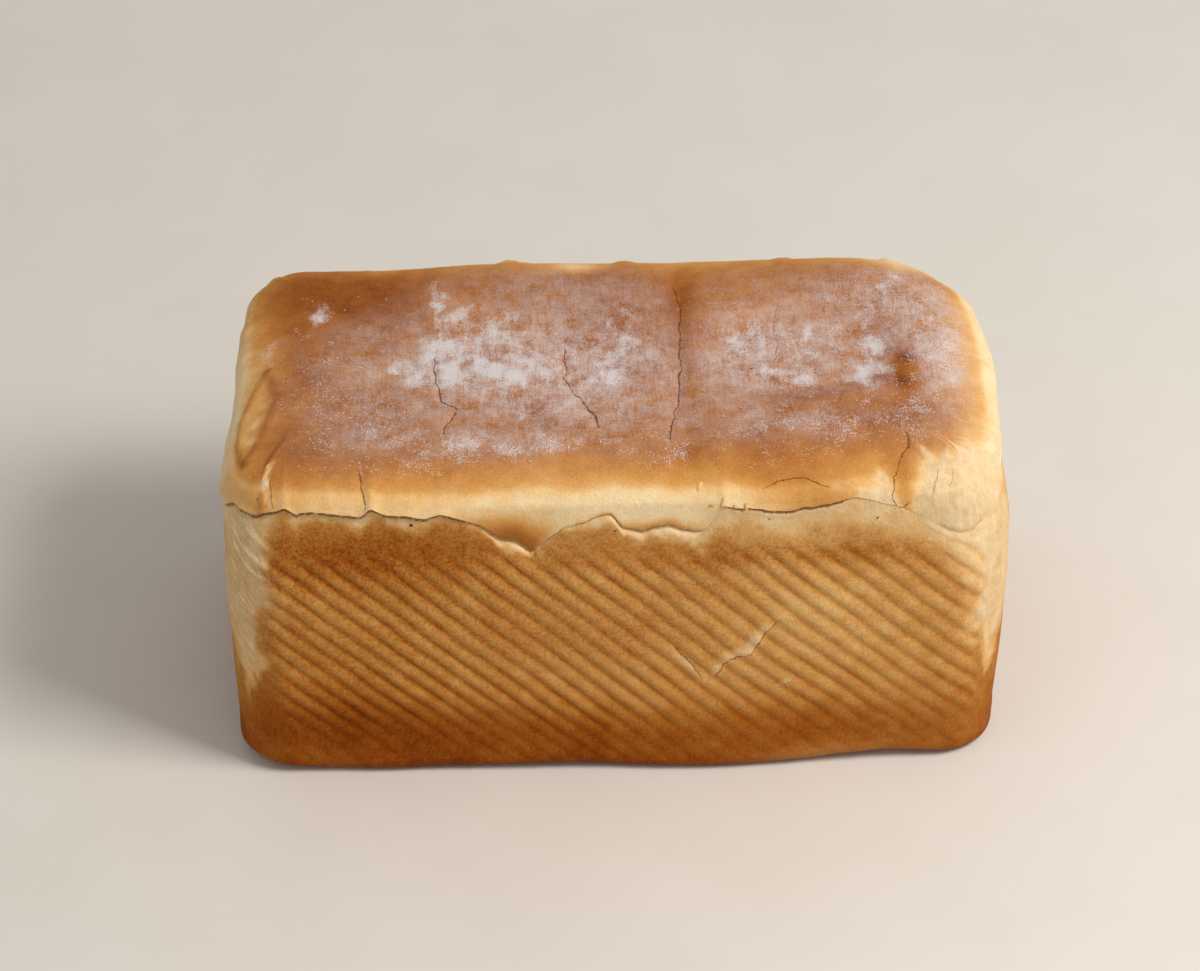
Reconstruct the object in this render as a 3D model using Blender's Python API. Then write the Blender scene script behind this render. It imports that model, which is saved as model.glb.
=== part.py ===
"""Tin loaf: a white loaf baked in a ribbed tin, with a flat crown that has broken away along its edge.

The loaf is one solid. Its skin starts as a box that is cut into columns and bands. Every corner of
that net is then carried to its place on the loaf. Metres, +Z up, the origin under the middle of the
base. The long side with the deepest dip in the break faces -Y.
"""

import math

import bmesh
import bpy
import numpy as np
from mathutils import Vector

MM = 0.001

# Driving dimensions
LENGTH = 238.5 * MM
WIDTH = 119 * MM
BREAK_HEIGHT = 106 * MM
CROWN_HEIGHT = 117 * MM
CORNER_RADIUS = 19 * MM
BASE_RADIUS = 5 * MM
SHOULDER_INSET = 23 * MM
SHOULDER_START = 108.5 * MM

# How the sides leave the upright: drawn in at the base, swollen at the waist, bowed in plan
BASE_TAPER = 1.2 * MM
WAIST_SWELL = 1.0 * MM
WAIST_POWER = 1.5
SIDE_BOW = 1.0 * MM
SHORT_BOW = 0.4
LEFT_DRAW = 6.5 * MM
RIGHT_SWELL = 2.6 * MM
RIGHT_SWELL_FADE = (84 * MM, 112 * MM)
END_START = 20 * MM
FOOT_SHARE = 0.4

# The ribs that the tin presses into its four sides at 45 degrees, finer at one end of a side
RIB_PITCH_START = 5.1 * MM
RIB_PITCH_END = 6.1 * MM
RIB_DEPTH = 1.0 * MM
RIB_CORNER_MARGIN = 12 * MM
RIB_FADE = 8 * MM
RIB_LOW = 10 * MM
RIB_HIGH = 92 * MM

# The net's columns and bands
LONG_COLUMNS = 24
SHORT_COLUMNS = 10
CORNER_ANGLES = (12, 23, 34)
WALL_BANDS = 6
SIDES = ((0, -1, 0), (1, 0, 0), (0, 1, 0), (-1, 0, 0))
EDGE_BANDS = (0.35, 0.7)
RIM_BANDS = (0.0, 0.55, 0.85)
LIP_BANDS = (0.0, 0.3, 0.65)
CROWN_BANDS = 5
ROLL = 5 * MM
CUT_SNAP = 0.25 * MM
FACING = 0.9
RULER_STEPS = 400

HALF_LENGTH = LENGTH / 2
HALF_WIDTH = WIDTH / 2
CORE_X = HALF_LENGTH - CORNER_RADIUS
CORE_Y = HALF_WIDTH - CORNER_RADIUS
GIRTH = 2 * (LENGTH + WIDTH)
WALL_START = BASE_RADIUS
RIM_START = BREAK_HEIGHT - ROLL
LIP_START = BREAK_HEIGHT
CROWN_START = BREAK_HEIGHT + ROLL
NET_TOP = CROWN_START + SHOULDER_INSET
LEAST_RADIUS = CORNER_RADIUS * 0.25

# The break along the front, as (x, height) in millimetres
FRONT_BREAK = (
    (-119, 110), (-111, 107), (-101, 111), (-97, 108.5), (-92, 110), (-82, 107), (-77, 107),
    (-74, 110), (-69, 107.3), (-57, 105.5), (-53, 107.3), (-41, 102), (-35, 95), (-30, 94.5),
    (-25.5, 89.5), (-16, 99.5), (-9, 102), (-4, 105), (-1, 104.5), (2, 99.5), (8, 97), (16, 99.7),
    (21, 97), (27, 97.5), (32.5, 108), (53, 104.7), (73, 109.6), (88, 104), (99, 96), (108, 92),
    (119, 97),
)  # fmt: skip
# How far the crown's lip and the side's rim stand out there, and how deep the crevice is
FRONT_EDGES = (
    (-119, 2.0, 0.0, 1.5), (-100, 1.3, 0.0, 1.2), (-60, 1.1, 0.2, 1.4), (-42, 0.2, 0.6, 1.4),
    (-25, -0.9, 1.3, 1.7), (-14, 0.0, 0.5, 0.6), (5, -0.2, 0.7, 1.2), (24, 0.0, 0.6, 0.9),
    (28, 0.0, 0.0, 0.0), (31, 0.0, 0.0, 0.2), (36, 0.3, 0.6, 1.4), (68, 0.3, 0.6, 1.4),
    (75, 0.0, 0.0, 0.0), (96, 0.0, 0.0, 0.0), (101, 0.3, 0.2, 0.8), (112, 0.3, 0.2, 0.8),
    (119, 0.6, 0.0, 0.6),
)  # fmt: skip
FRONT_BLEND = 12 * MM

# The break on the other sides: mean values, and waves as (number in the way round, height in mm, phase)
LIP_MEAN = 0.7 * MM
RIM_MEAN = 0.4 * MM
CREVICE_MEAN = 1.1 * MM
TOP_WAVES = ((6, 1.6, 0), (17, 1.8, 1), (41, 1.1, 2))
LIP_WAVES = ((5, 0.6, 1), (13, 0.5, 4))
RIM_WAVES = ((7, 0.4, 3),)
CREVICE_WAVES = ((9, 0.4, 0),)

# The section through the break: shares of the roll, powers of its curves, and heights
LIFT_START = 0.6
RIM_RISE = 0.6
TURN_IN_POWER = 6
LIP_OUT = 0.3
LIP_EASE = 0.5
LIP_DROOP = 0.4 * MM
SHOULDER_CLEAR = 2.5 * MM
SHOULDER_POWER = 1.3

# Where the base edge lifts off: (position around the loaf from the front left corner, lift, reach)
BASE_LIFTS = ((0, 2.2, 22), (100, 0.8, 22), (199, 2.0, 20), (300, 1.6, 24), (420, 1.3, 30), (560, 1.8, 30))
# Where the foot of a wall bulges out: (position, bulge, reach)
FOOT_BULGES = ((152, 2.6, 34), (330, 1.2, 30), (460, 1.6, 34), (640, 1.0, 24))

# Corners of the loaf that are drawn in at the break: (side in x, side in y, body, crown, reach)
CROWN_CORNERS = ((1, 1, 3.0, 4.5, 26), (1, -1, 1.2, 2.0, 24), (-1, -1, 0.4, 1.8, 22), (-1, 1, 0.5, 0.8, 16))
BODY_PULL = (70 * MM, 104 * MM)
CROWN_PULL = (102 * MM, 110 * MM)
PULL_DROP = 0.5

# Sunk ovals of the crown: (x, y, half length, half width, depth) in millimetres, then the shares of the
# radius where the slope starts and ends
CROWN_DIPS = ((60, 4, 33, 25, 2.4, 0.72, 1.08), (-40, 0, 62, 38, 0.9, 0.5, 1.1))
# Ridges and hollows across the crown: (x, reach, rise) in millimetres, all the way and at the back edge only
CROWN_SEAMS = ((22, 5, -0.8),)
BACK_WAVES = ((80, 30, 1.3), (-38, 22, 0.8), (-75, 18, -1.2))

# Cracks in the crown as (x, y), in millimetres
CROWN_CRACKS = (
    ((-54, 10), (-55, 0), (-53, -10), (-52, -17), (-47.5, -21), (-51, -30), (-51.5, -36)),
    ((-13.5, 9), (-13, -4), (-14, -7), (-9, -18), (-5.5, -25), (-3.5, -34)),
    ((22, 40), (23.6, 28), (23, 10), (21.5, -18), (19.5, -26), (17, -42)),
    ((54.3, 28), (52.4, 15), (53.6, 8.5), (52, 0)),
)
# Tears in the skin of the front as (x, height), and over the front edge of the crown as (x, band)
FRONT_TEARS = (
    ((20.5, 48.5), (23, 44.5), (26, 41), (29, 35)),
    ((33.5, 35), (38, 42), (45.5, 44), (47.5, 48), (49.5, 53.5), (53.5, 57.5)),
    ((96.5, 128), (96, 121), (94.5, 113), (92, 108), (94, 106)),
    ((50.5, 110.5), (55, 113), (60, 113.6), (64.5, 113.8), (72, 111)),
    ((-77.5, 112), (-76.5, 108)),
)
CRACK_RADIUS = 0.6 * MM


def eased(low, high, value):
    """Zero below low, one above high, with an S curve between."""
    share = np.clip((value - low) / (high - low), 0, 1)
    return share * share * (3 - 2 * share)


def hump(value, centre, reach):
    """A smooth bump of height one at centre."""
    return np.exp(-(((value - centre) / reach) ** 2))


def around(x, y):
    """Position around the loaf, counted from the front left corner, of a point on the net's walls."""
    return np.select(
        [y < -HALF_WIDTH + CUT_SNAP, x > HALF_LENGTH - CUT_SNAP, y > HALF_WIDTH - CUT_SNAP],
        [x + HALF_LENGTH, LENGTH + y + HALF_WIDTH, LENGTH + WIDTH + HALF_LENGTH - x],
        2 * LENGTH + WIDTH + HALF_WIDTH - y,
    )


def waves(place, terms):
    """A sum of sines around the loaf, from terms of (number in the way round, height in mm, phase)."""
    turn = 2 * math.pi * place / GIRTH
    return sum(height * MM * np.sin(count * turn + phase) for count, height, phase in terms)


def ridges(x, rows):
    """A sum of smooth bumps along the loaf, from rows of (x, reach, rise) in millimetres."""
    return sum(rise * MM * hump(x, middle * MM, reach * MM) for middle, reach, rise in rows)


def break_edges(place):
    """Height of the break, and how far lip, rim and crevice stand out, at a position around the loaf."""
    signed = np.where(place > LENGTH + WIDTH + HALF_LENGTH, place - GIRTH, place)
    front = eased(-FRONT_BLEND, FRONT_BLEND / 2, signed)
    front = front * (1 - eased(LENGTH - FRONT_BLEND / 2, LENGTH + FRONT_BLEND, signed))
    x = (signed - HALF_LENGTH) / MM
    shape = np.array(FRONT_BREAK).T
    edges = np.array(FRONT_EDGES).T
    elsewhere = (
        BREAK_HEIGHT + waves(place, TOP_WAVES),
        LIP_MEAN + waves(place, LIP_WAVES),
        RIM_MEAN + waves(place, RIM_WAVES),
        CREVICE_MEAN + waves(place, CREVICE_WAVES),
    )
    drawn = (np.interp(x, *shape), *(np.interp(x, edges[0], row) for row in edges[1:]))
    return [front * here * MM + (1 - front) * there for here, there in zip(drawn, elsewhere)]


def rib_count(distance):
    """How many ribs lie before a distance measured square to them. Their pitch widens from start to end."""
    span = (LENGTH + RIB_HIGH) / math.sqrt(2)
    change = (1 / RIB_PITCH_END - 1 / RIB_PITCH_START) / span
    return distance / RIB_PITCH_START + change * distance**2 / 2


def side_position(x, y):
    """Distance from the left end of its own side, seen from outside, and the length of that side."""
    place = around(x, y)
    starts = np.array([0, LENGTH, LENGTH + WIDTH, 2 * LENGTH + WIDTH])
    side = np.clip(np.searchsorted(starts, place, side="right") - 1, 0, 3)
    return place - starts[side], np.where(side % 2 == 0, LENGTH, WIDTH)


def rib_relief(x, y, height):
    """How far the ribs stand out: ridges between V valleys, faded out at the corners, base and break."""
    along, side = side_position(x, y)
    count = rib_count((along + height) / math.sqrt(2))
    ridge = 0.5 - np.abs(2 * (count % 1) - 1)
    inside = np.minimum(along, side - along)
    shown = eased(RIB_CORNER_MARGIN, RIB_CORNER_MARGIN + RIB_FADE, inside)
    shown = shown * eased(RIB_LOW - RIB_FADE, RIB_LOW, height)
    shown = shown * (1 - eased(RIB_HIGH - RIB_FADE, RIB_HIGH, height))
    return RIB_DEPTH * ridge * shown


def crown_height(x, y):
    """Height of the crown's flat: a sunk oval at the right, a shallow dish at the left and low waves."""
    height = CROWN_HEIGHT + ridges(x, CROWN_SEAMS) + ridges(x, BACK_WAVES) * eased(0, HALF_WIDTH, y)
    for middle_x, middle_y, half_x, half_y, depth, start, end in CROWN_DIPS:
        away = np.hypot((x - middle_x * MM) / (half_x * MM), (y - middle_y * MM) / (half_y * MM))
        height = height - depth * MM * (1 - eased(start, end, away))
    return height


def draw_in(x, y, inset):
    """Plan position of a net point once the rounded outline is drawn in by inset."""
    over_x = np.maximum(np.abs(x) - CORE_X, 0)
    over_y = np.maximum(np.abs(y) - CORE_Y, 0)
    reach = np.maximum(np.hypot(over_x, over_y), 1e-12)
    squeeze = np.maximum(over_x, over_y) / reach
    radius = np.maximum(CORNER_RADIUS - inset, LEAST_RADIUS)
    core_x = HALF_LENGTH - inset - radius
    core_y = HALF_WIDTH - inset - radius
    scale = radius / CORNER_RADIUS
    plan_x = np.minimum(np.abs(x), CORE_X) / CORE_X * core_x + over_x * squeeze * scale
    plan_y = np.minimum(np.abs(y), CORE_Y) / CORE_Y * core_y + over_y * squeeze * scale
    return np.sign(x) * plan_x, np.sign(y) * plan_y


def wall_skin(x, y, band):
    """Inset and height of a point on the net's walls, from the base edge over the break to the crown."""
    place = around(x, y)
    top, lip, rim, crevice = break_edges(place)
    turn = np.clip(band / WALL_START, 0, 1) * math.pi / 2
    height = np.where(band < WALL_START, BASE_RADIUS * (1 - np.cos(turn)), band)
    height = np.minimum(height, BREAK_HEIGHT)
    share = height / BREAK_HEIGHT
    inset = BASE_RADIUS * (1 - np.sin(turn)) + BASE_TAPER * (1 - share)
    inset = inset - WAIST_SWELL * np.sin(math.pi * share**WAIST_POWER)
    along, side = side_position(x, y)
    inset = inset - SIDE_BOW * np.sin(math.pi * along / side) * np.where(side > WIDTH, 1, SHORT_BOW)
    inset = inset - rib_relief(x, y, height) - along_foot(x, y, band, FOOT_BULGES)
    height = height + (top - BREAK_HEIGHT) * eased(BREAK_HEIGHT * LIFT_START, BREAK_HEIGHT, height)

    roll = np.clip((band - RIM_START) / ROLL, 0, 1)
    turned_in = roll**TURN_IN_POWER
    inset = inset - rim * eased(0, RIM_RISE, roll) * (1 - turned_in) + crevice * turned_in
    lift = np.clip((band - LIP_START) / ROLL, 0, 1)
    shoulder = np.maximum(top + SHOULDER_CLEAR, SHOULDER_START)
    inset = inset - (crevice + lip) * eased(0, LIP_OUT, lift) + LIP_EASE * lip * eased(LIP_OUT, 1, lift)
    height = height + (shoulder - top) * lift**SHOULDER_POWER
    height = height - LIP_DROOP * np.sin(math.pi * lift) * (lip > 0)

    over = np.clip((band - CROWN_START) / SHOULDER_INSET, 0, 1) * math.pi / 2
    inset = inset + (SHOULDER_INSET - inset) * (1 - np.cos(over))
    return inset, height, np.sin(over)


def settle(x, y, z):
    """Draws the left end in towards the back, swells the right end and draws the top corners in."""
    x = x + LEFT_DRAW * eased(-HALF_WIDTH, HALF_WIDTH, y) * eased(-END_START, -HALF_LENGTH, x)
    x = x + RIGHT_SWELL * eased(END_START, HALF_LENGTH, x) * (1 - eased(*RIGHT_SWELL_FADE, z))
    for side_x, side_y, body, crown, reach in CROWN_CORNERS:
        from_corner = np.hypot(side_x * x - HALF_LENGTH, side_y * y - HALF_WIDTH)
        pull = body * eased(*BODY_PULL, z) + crown * eased(*CROWN_PULL, z)
        pull = pull * MM * np.exp(-((from_corner / (reach * MM)) ** 2)) / math.sqrt(2)
        x = x - side_x * pull
        y = y - side_y * pull
        z = z - PULL_DROP * pull
    return x, y, z


def along_foot(x, y, band, bumps):
    """A sum of bumps along the foot of the walls, from rows of (position, amount, reach) in millimetres."""
    place = around(x, y)
    total = np.zeros_like(place)
    for centre, amount, reach in bumps:
        gap = np.abs(place - centre * MM)
        total += amount * MM * hump(np.minimum(gap, GIRTH - gap), 0, reach * MM)
    return total * (1 - eased(0, FOOT_SHARE * BREAK_HEIGHT, band))


def loaf_points(net):
    """Carries every point of the net, as rows of x, y and band, to its place on the loaf."""
    x, y, band = net.T
    on_wall = (np.abs(x) > HALF_LENGTH - CUT_SNAP) | (np.abs(y) > HALF_WIDTH - CUT_SNAP)
    inset, height, over = wall_skin(x, y, band)
    inset = np.where(on_wall, inset, np.where(band > RIM_START, SHOULDER_INSET, BASE_RADIUS + BASE_TAPER))
    plan_x, plan_y = draw_in(x, y, inset)
    over = np.where(on_wall, over, np.where(band > RIM_START, 1, 0))
    height = np.where(on_wall, height + along_foot(x, y, band, BASE_LIFTS), 0)
    z = height + (crown_height(plan_x, plan_y) - height) * over
    return np.column_stack(settle(plan_x, plan_y, z))


def fan(core):
    """Where the net is cut over the rounded corners, beyond the end of the straight part of a side."""
    return [core + CORNER_RADIUS * math.tan(math.radians(angle)) for angle in CORNER_ANGLES]


def columns(core, count):
    """Where the net is cut along the straight part of a side."""
    return [core * (2 * step / count - 1) for step in range(1, count)]


def bands():
    """Where the net is cut in height, from the base edge to the crown."""
    wall = [WALL_START + (RIB_HIGH - WALL_START) * step / WALL_BANDS for step in range(WALL_BANDS + 1)]
    rim = [RIM_START + ROLL * share for share in RIM_BANDS]
    lip = [LIP_START + ROLL * share for share in LIP_BANDS]
    crown = [CROWN_START + SHOULDER_INSET * step / CROWN_BANDS for step in range(CROWN_BANDS)]
    return [WALL_START * share for share in EDGE_BANDS] + wall + rim + lip + crown


def cut(mesh, faces, place, normal):
    """Cuts the given faces of the net along a plane."""
    edges = {edge for face in faces for edge in face.edges}
    points = {point for face in faces for point in face.verts}
    bmesh.ops.bisect_plane(
        mesh, geom=[*faces, *edges, *points], dist=CUT_SNAP, plane_co=Vector(place), plane_no=Vector(normal)
    )


def wall_faces(mesh, outward, low, high):
    """Faces of the net's wall on one side, between two bands and clear of the rounded corners."""
    core = CORE_X if abs(outward.y) > 0.5 else CORE_Y
    sideways = outward.cross(Vector((0, 0, 1)))
    return [
        face
        for face in mesh.faces
        if face.normal.dot(outward) > FACING
        and low < face.calc_center_median().z < high
        and abs(face.calc_center_median().dot(sideways)) < core
    ]


def smooth_faces(mesh):
    """Faces of the net that carry no ribs, without the middle of the base."""
    ribbed = [face for outward in SIDES for face in wall_faces(mesh, Vector(outward), WALL_START, RIB_HIGH)]
    base = [face for face in mesh.faces if face.normal.z < -FACING]
    base = [face for face in base if max(abs(p.co.x) for p in face.verts) <= CORE_X + CUT_SNAP]
    base = [face for face in base if max(abs(p.co.y) for p in face.verts) <= CORE_Y + CUT_SNAP]
    skipped = {face.index for face in ribbed + base}
    return [face for face in mesh.faces if face.index not in skipped]


def cut_ribs(mesh, outward):
    """Cuts one wall along every ridge and valley of its ribs."""
    along = Vector((0, 0, 1)).cross(outward)
    half = HALF_LENGTH if abs(outward.y) > 0.5 else HALF_WIDTH
    furthest = (2 * half + RIB_HIGH) / math.sqrt(2)
    ruler = np.linspace(0, furthest, RULER_STEPS)
    halves = np.arange(1, 2 * rib_count(furthest)) / 2
    slope = along + Vector((0, 0, 1))
    for distance in np.interp(halves, rib_count(ruler), ruler):
        faces = wall_faces(mesh, outward, WALL_START, RIB_HIGH)
        start = outward * (HALF_WIDTH + HALF_LENGTH - half) - along * half
        cut(mesh, faces, start + slope * distance / math.sqrt(2), slope)


def make_net():
    """The box whose faces are cut into the columns, bands and ribs of the loaf."""
    mesh = bmesh.new()
    bmesh.ops.create_cube(mesh, size=1)
    bmesh.ops.scale(mesh, vec=(LENGTH, WIDTH, NET_TOP), verts=mesh.verts)
    bmesh.ops.translate(mesh, vec=(0, 0, NET_TOP / 2), verts=mesh.verts)
    for axis, core in ((0, CORE_X), (1, CORE_Y)):
        normal = [float(axis == each) for each in range(3)]
        for place in [core, *fan(core)]:
            for side in (-1, 1):
                cut(mesh, mesh.faces, [side * place * part for part in normal], normal)
    for band in bands():
        cut(mesh, mesh.faces, (0, 0, band), (0, 0, 1))
    for outward in SIDES:
        cut_ribs(mesh, Vector(outward))
    for axis, core, count in ((0, CORE_X, LONG_COLUMNS), (1, CORE_Y, SHORT_COLUMNS)):
        normal = [float(axis == each) for each in range(3)]
        for place in columns(core, count):
            mesh.faces.index_update()
            cut(mesh, smooth_faces(mesh), [place * part for part in normal], normal)
    for x, _ in FRONT_BREAK:
        if abs(x * MM) < CORE_X:
            cut(mesh, wall_faces(mesh, Vector(SIDES[0]), RIM_START, CROWN_START), (x * MM, 0, 0), (1, 0, 0))
    bmesh.ops.triangulate(mesh, faces=[face for face in mesh.faces if len(face.verts) > 3])
    return mesh


def make_crust():
    """Golden crust, as one dull finish."""
    material = bpy.data.materials.new("golden_crust")
    material.use_nodes = True
    shader = material.node_tree.nodes["Principled BSDF"]
    shader.inputs["Base Color"].default_value = (0.47, 0.22, 0.075, 1)
    shader.inputs["Roughness"].default_value = 0.75
    shader.inputs["Metallic"].default_value = 0
    return material


def make_loaf(collection):
    """The loaf's skin, from the net, centred over the origin. Returns it and how far it was moved."""
    net = make_net()
    data = bpy.data.meshes.new("loaf")
    net.to_mesh(data)
    net.free()
    corners = np.empty(len(data.vertices) * 3)
    data.vertices.foreach_get("co", corners)
    points = loaf_points(corners.reshape(-1, 3))
    middle = (points.min(axis=0) + points.max(axis=0)) / 2 * (1, 1, 0)
    data.vertices.foreach_set("co", (points - middle).ravel())
    data.update()
    data.shade_smooth()
    data.materials.append(make_crust())
    loaf = bpy.data.objects.new("loaf", data)
    collection.objects.link(loaf)
    return loaf, middle


def crack_lines():
    """The middle line of every crack and tear, as rows of points on the loaf."""
    lines = []
    for path in CROWN_CRACKS:
        x, y = np.array(path).T * MM
        lines.append(np.column_stack([x, y, crown_height(x, y)]))
    for path in FRONT_TEARS:
        x, band = np.array(path).T * MM
        lines.append(loaf_points(np.column_stack([x, np.full_like(x, -HALF_WIDTH), band])))
    return lines


def make_crack(name, line, collection):
    """A cutter for one crack: a thin bar laid along its line at the level of the crust."""
    curve = bpy.data.curves.new(name, "CURVE")
    curve.dimensions = "3D"
    curve.bevel_depth = CRACK_RADIUS
    curve.bevel_resolution = 0
    curve.use_fill_caps = True
    spline = curve.splines.new("POLY")
    spline.points.add(len(line) - 1)
    for point, place in zip(spline.points, line):
        point.co = (*place, 1)
    drawn = bpy.data.objects.new(name + "_line", curve)
    collection.objects.link(drawn)
    bpy.context.view_layer.update()
    solid = bpy.data.meshes.new_from_object(drawn.evaluated_get(bpy.context.evaluated_depsgraph_get()))
    bpy.data.objects.remove(drawn)
    welded = bmesh.new()
    welded.from_mesh(solid)
    bmesh.ops.remove_doubles(welded, verts=welded.verts, dist=1e-6)
    welded.to_mesh(solid)
    welded.free()
    cutter = bpy.data.objects.new(name, solid)
    cutter.hide_render = True
    cutter.display_type = "WIRE"
    collection.objects.link(cutter)
    return cutter


def main():
    """Builds the loaf and cuts its cracks."""
    for old in list(bpy.data.objects):
        bpy.data.objects.remove(old)
    model = bpy.data.collections.new("tin_loaf")
    cutters = bpy.data.collections.new("cutters")
    for collection in (model, cutters):
        bpy.context.scene.collection.children.link(collection)
    loaf, middle = make_loaf(model)
    for number, line in enumerate(crack_lines(), 1):
        cutter = make_crack(f"crack_{number}", line - middle, cutters)
        modifier = loaf.modifiers.new(cutter.name, "BOOLEAN")
        modifier.operation = "DIFFERENCE"
        modifier.solver = "EXACT"
        modifier.object = cutter


main()
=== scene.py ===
"""Looks of a tin loaf: the fine surface of its crust, its browning and torn dough, the flour on its crown,
and the plain studio that shows them. Lengths are in metres unless a name ends in _mm."""

from __future__ import annotations

import logging
import math
from dataclasses import dataclass, field
from typing import Any, Mapping, Sequence

import bpy
import numpy as np
from numpy.typing import NDArray
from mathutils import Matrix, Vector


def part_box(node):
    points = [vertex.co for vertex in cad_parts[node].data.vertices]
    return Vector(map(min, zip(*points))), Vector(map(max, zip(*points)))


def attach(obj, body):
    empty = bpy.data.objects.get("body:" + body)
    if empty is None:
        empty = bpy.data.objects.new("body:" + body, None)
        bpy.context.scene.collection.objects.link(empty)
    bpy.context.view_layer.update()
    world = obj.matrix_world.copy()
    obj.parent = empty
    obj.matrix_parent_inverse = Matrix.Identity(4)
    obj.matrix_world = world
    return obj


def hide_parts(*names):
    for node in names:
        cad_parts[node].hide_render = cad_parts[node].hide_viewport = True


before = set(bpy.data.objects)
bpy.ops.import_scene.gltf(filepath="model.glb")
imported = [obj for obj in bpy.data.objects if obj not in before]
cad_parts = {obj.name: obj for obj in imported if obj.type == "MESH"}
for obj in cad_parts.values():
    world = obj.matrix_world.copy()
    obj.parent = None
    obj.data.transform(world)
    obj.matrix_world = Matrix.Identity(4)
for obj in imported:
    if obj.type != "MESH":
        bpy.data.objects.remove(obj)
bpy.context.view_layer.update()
LOG = logging.getLogger("tin_loaf")
MM = 0.001
FAR_MM = 99.0
Array = NDArray[np.float64]
Colour = tuple[float, float, float, float]


def eased(low: float | Array, high: float | Array, value: Array) -> Array:
    """An S curve that is zero at low and one at high.

    Args:
        low: value where the curve starts.
        high: value where it ends; it may be the smaller one.
        value: what to ease.

    Returns:
        3t² - 2t³, with t the share of the way from low to high, kept between zero and one.
    """
    share = np.clip((value - low) / (high - low), 0, 1)
    return share * share * (3 - 2 * share)


def hump(value: Array, centre: float | Array, reach: float) -> Array:
    """A bump of height one at centre: e to the power of minus the squared distance over reach."""
    return np.exp(-(((value - centre) / reach) ** 2))


def srgb(red: int, green: int, blue: int) -> Colour:
    """A colour read off a picture, as the linear values that a shader takes.

    Args:
        red: its red, from 0 to 255.
        green: its green.
        blue: its blue.

    Returns:
        For each share of 255, the share over 12.92 if it is very dark, else (share + 0.055) / 1.055 to the
        power of 2.4; and an alpha of one.
    """
    shares = (channel / 255 for channel in (red, green, blue))
    linear = (s / 12.92 if s <= 0.04045 else ((s + 0.055) / 1.055) ** 2.4 for s in shares)
    return (*linear, 1.0)  # type: ignore[return-value]


@dataclass(frozen=True)
class Noise:
    """Smooth random heights that fill space, the same on every run.

    Attributes:
        seed: start of the random numbers.
        table_size: how many there are.
        mixers: large primes that spread the cubes of the grid over them.
        shift: how far the bits of the sum are shifted before it is mixed with itself.
    """

    seed: int
    table_size: int = 4096
    mixers: tuple[int, int, int] = (73856093, 19349663, 83492791)
    shift: int = 13

    def at(self, places: Array, size: float | Sequence[float]) -> Array:
        """Reads the noise: random numbers on a grid of cubes, eased from corner to corner.

        Args:
            places: rows of coordinates, in two or three columns.
            size: edge of the cubes, one number or one for each column.

        Returns:
            One value from -1 to 1 for each row.
        """
        table = np.random.default_rng(self.seed).uniform(-1, 1, self.table_size)
        scaled = places / np.asarray(size)
        cell = np.floor(scaled).astype(np.int64)
        part = scaled - cell
        part = part * part * (3 - 2 * part)
        total = np.zeros(len(places))
        axes = places.shape[1]
        for corner in np.ndindex(*([2] * axes)):
            step = np.array(corner)
            key = ((cell + step) * np.array(self.mixers)[:axes]).sum(axis=1)
            weight = np.where(step, part, 1 - part).prod(axis=1)
            total += weight * table[(key ^ (key >> self.shift)) % self.table_size]
        return total


@dataclass(frozen=True)
class Stretch:
    """One stretch of the break along the front: how its two edges stand.

    Attributes:
        x_mm: place along the front.
        lip: how far the crown's edge stands out, in millimetres.
        rim: how far the side's edge stands out, in millimetres.
        crevice: how deep the gap between them is, in millimetres.
        pale: height of the band of pale dough under the break, in millimetres.
    """

    x_mm: float
    lip: float
    rim: float
    crevice: float
    pale: float


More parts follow.
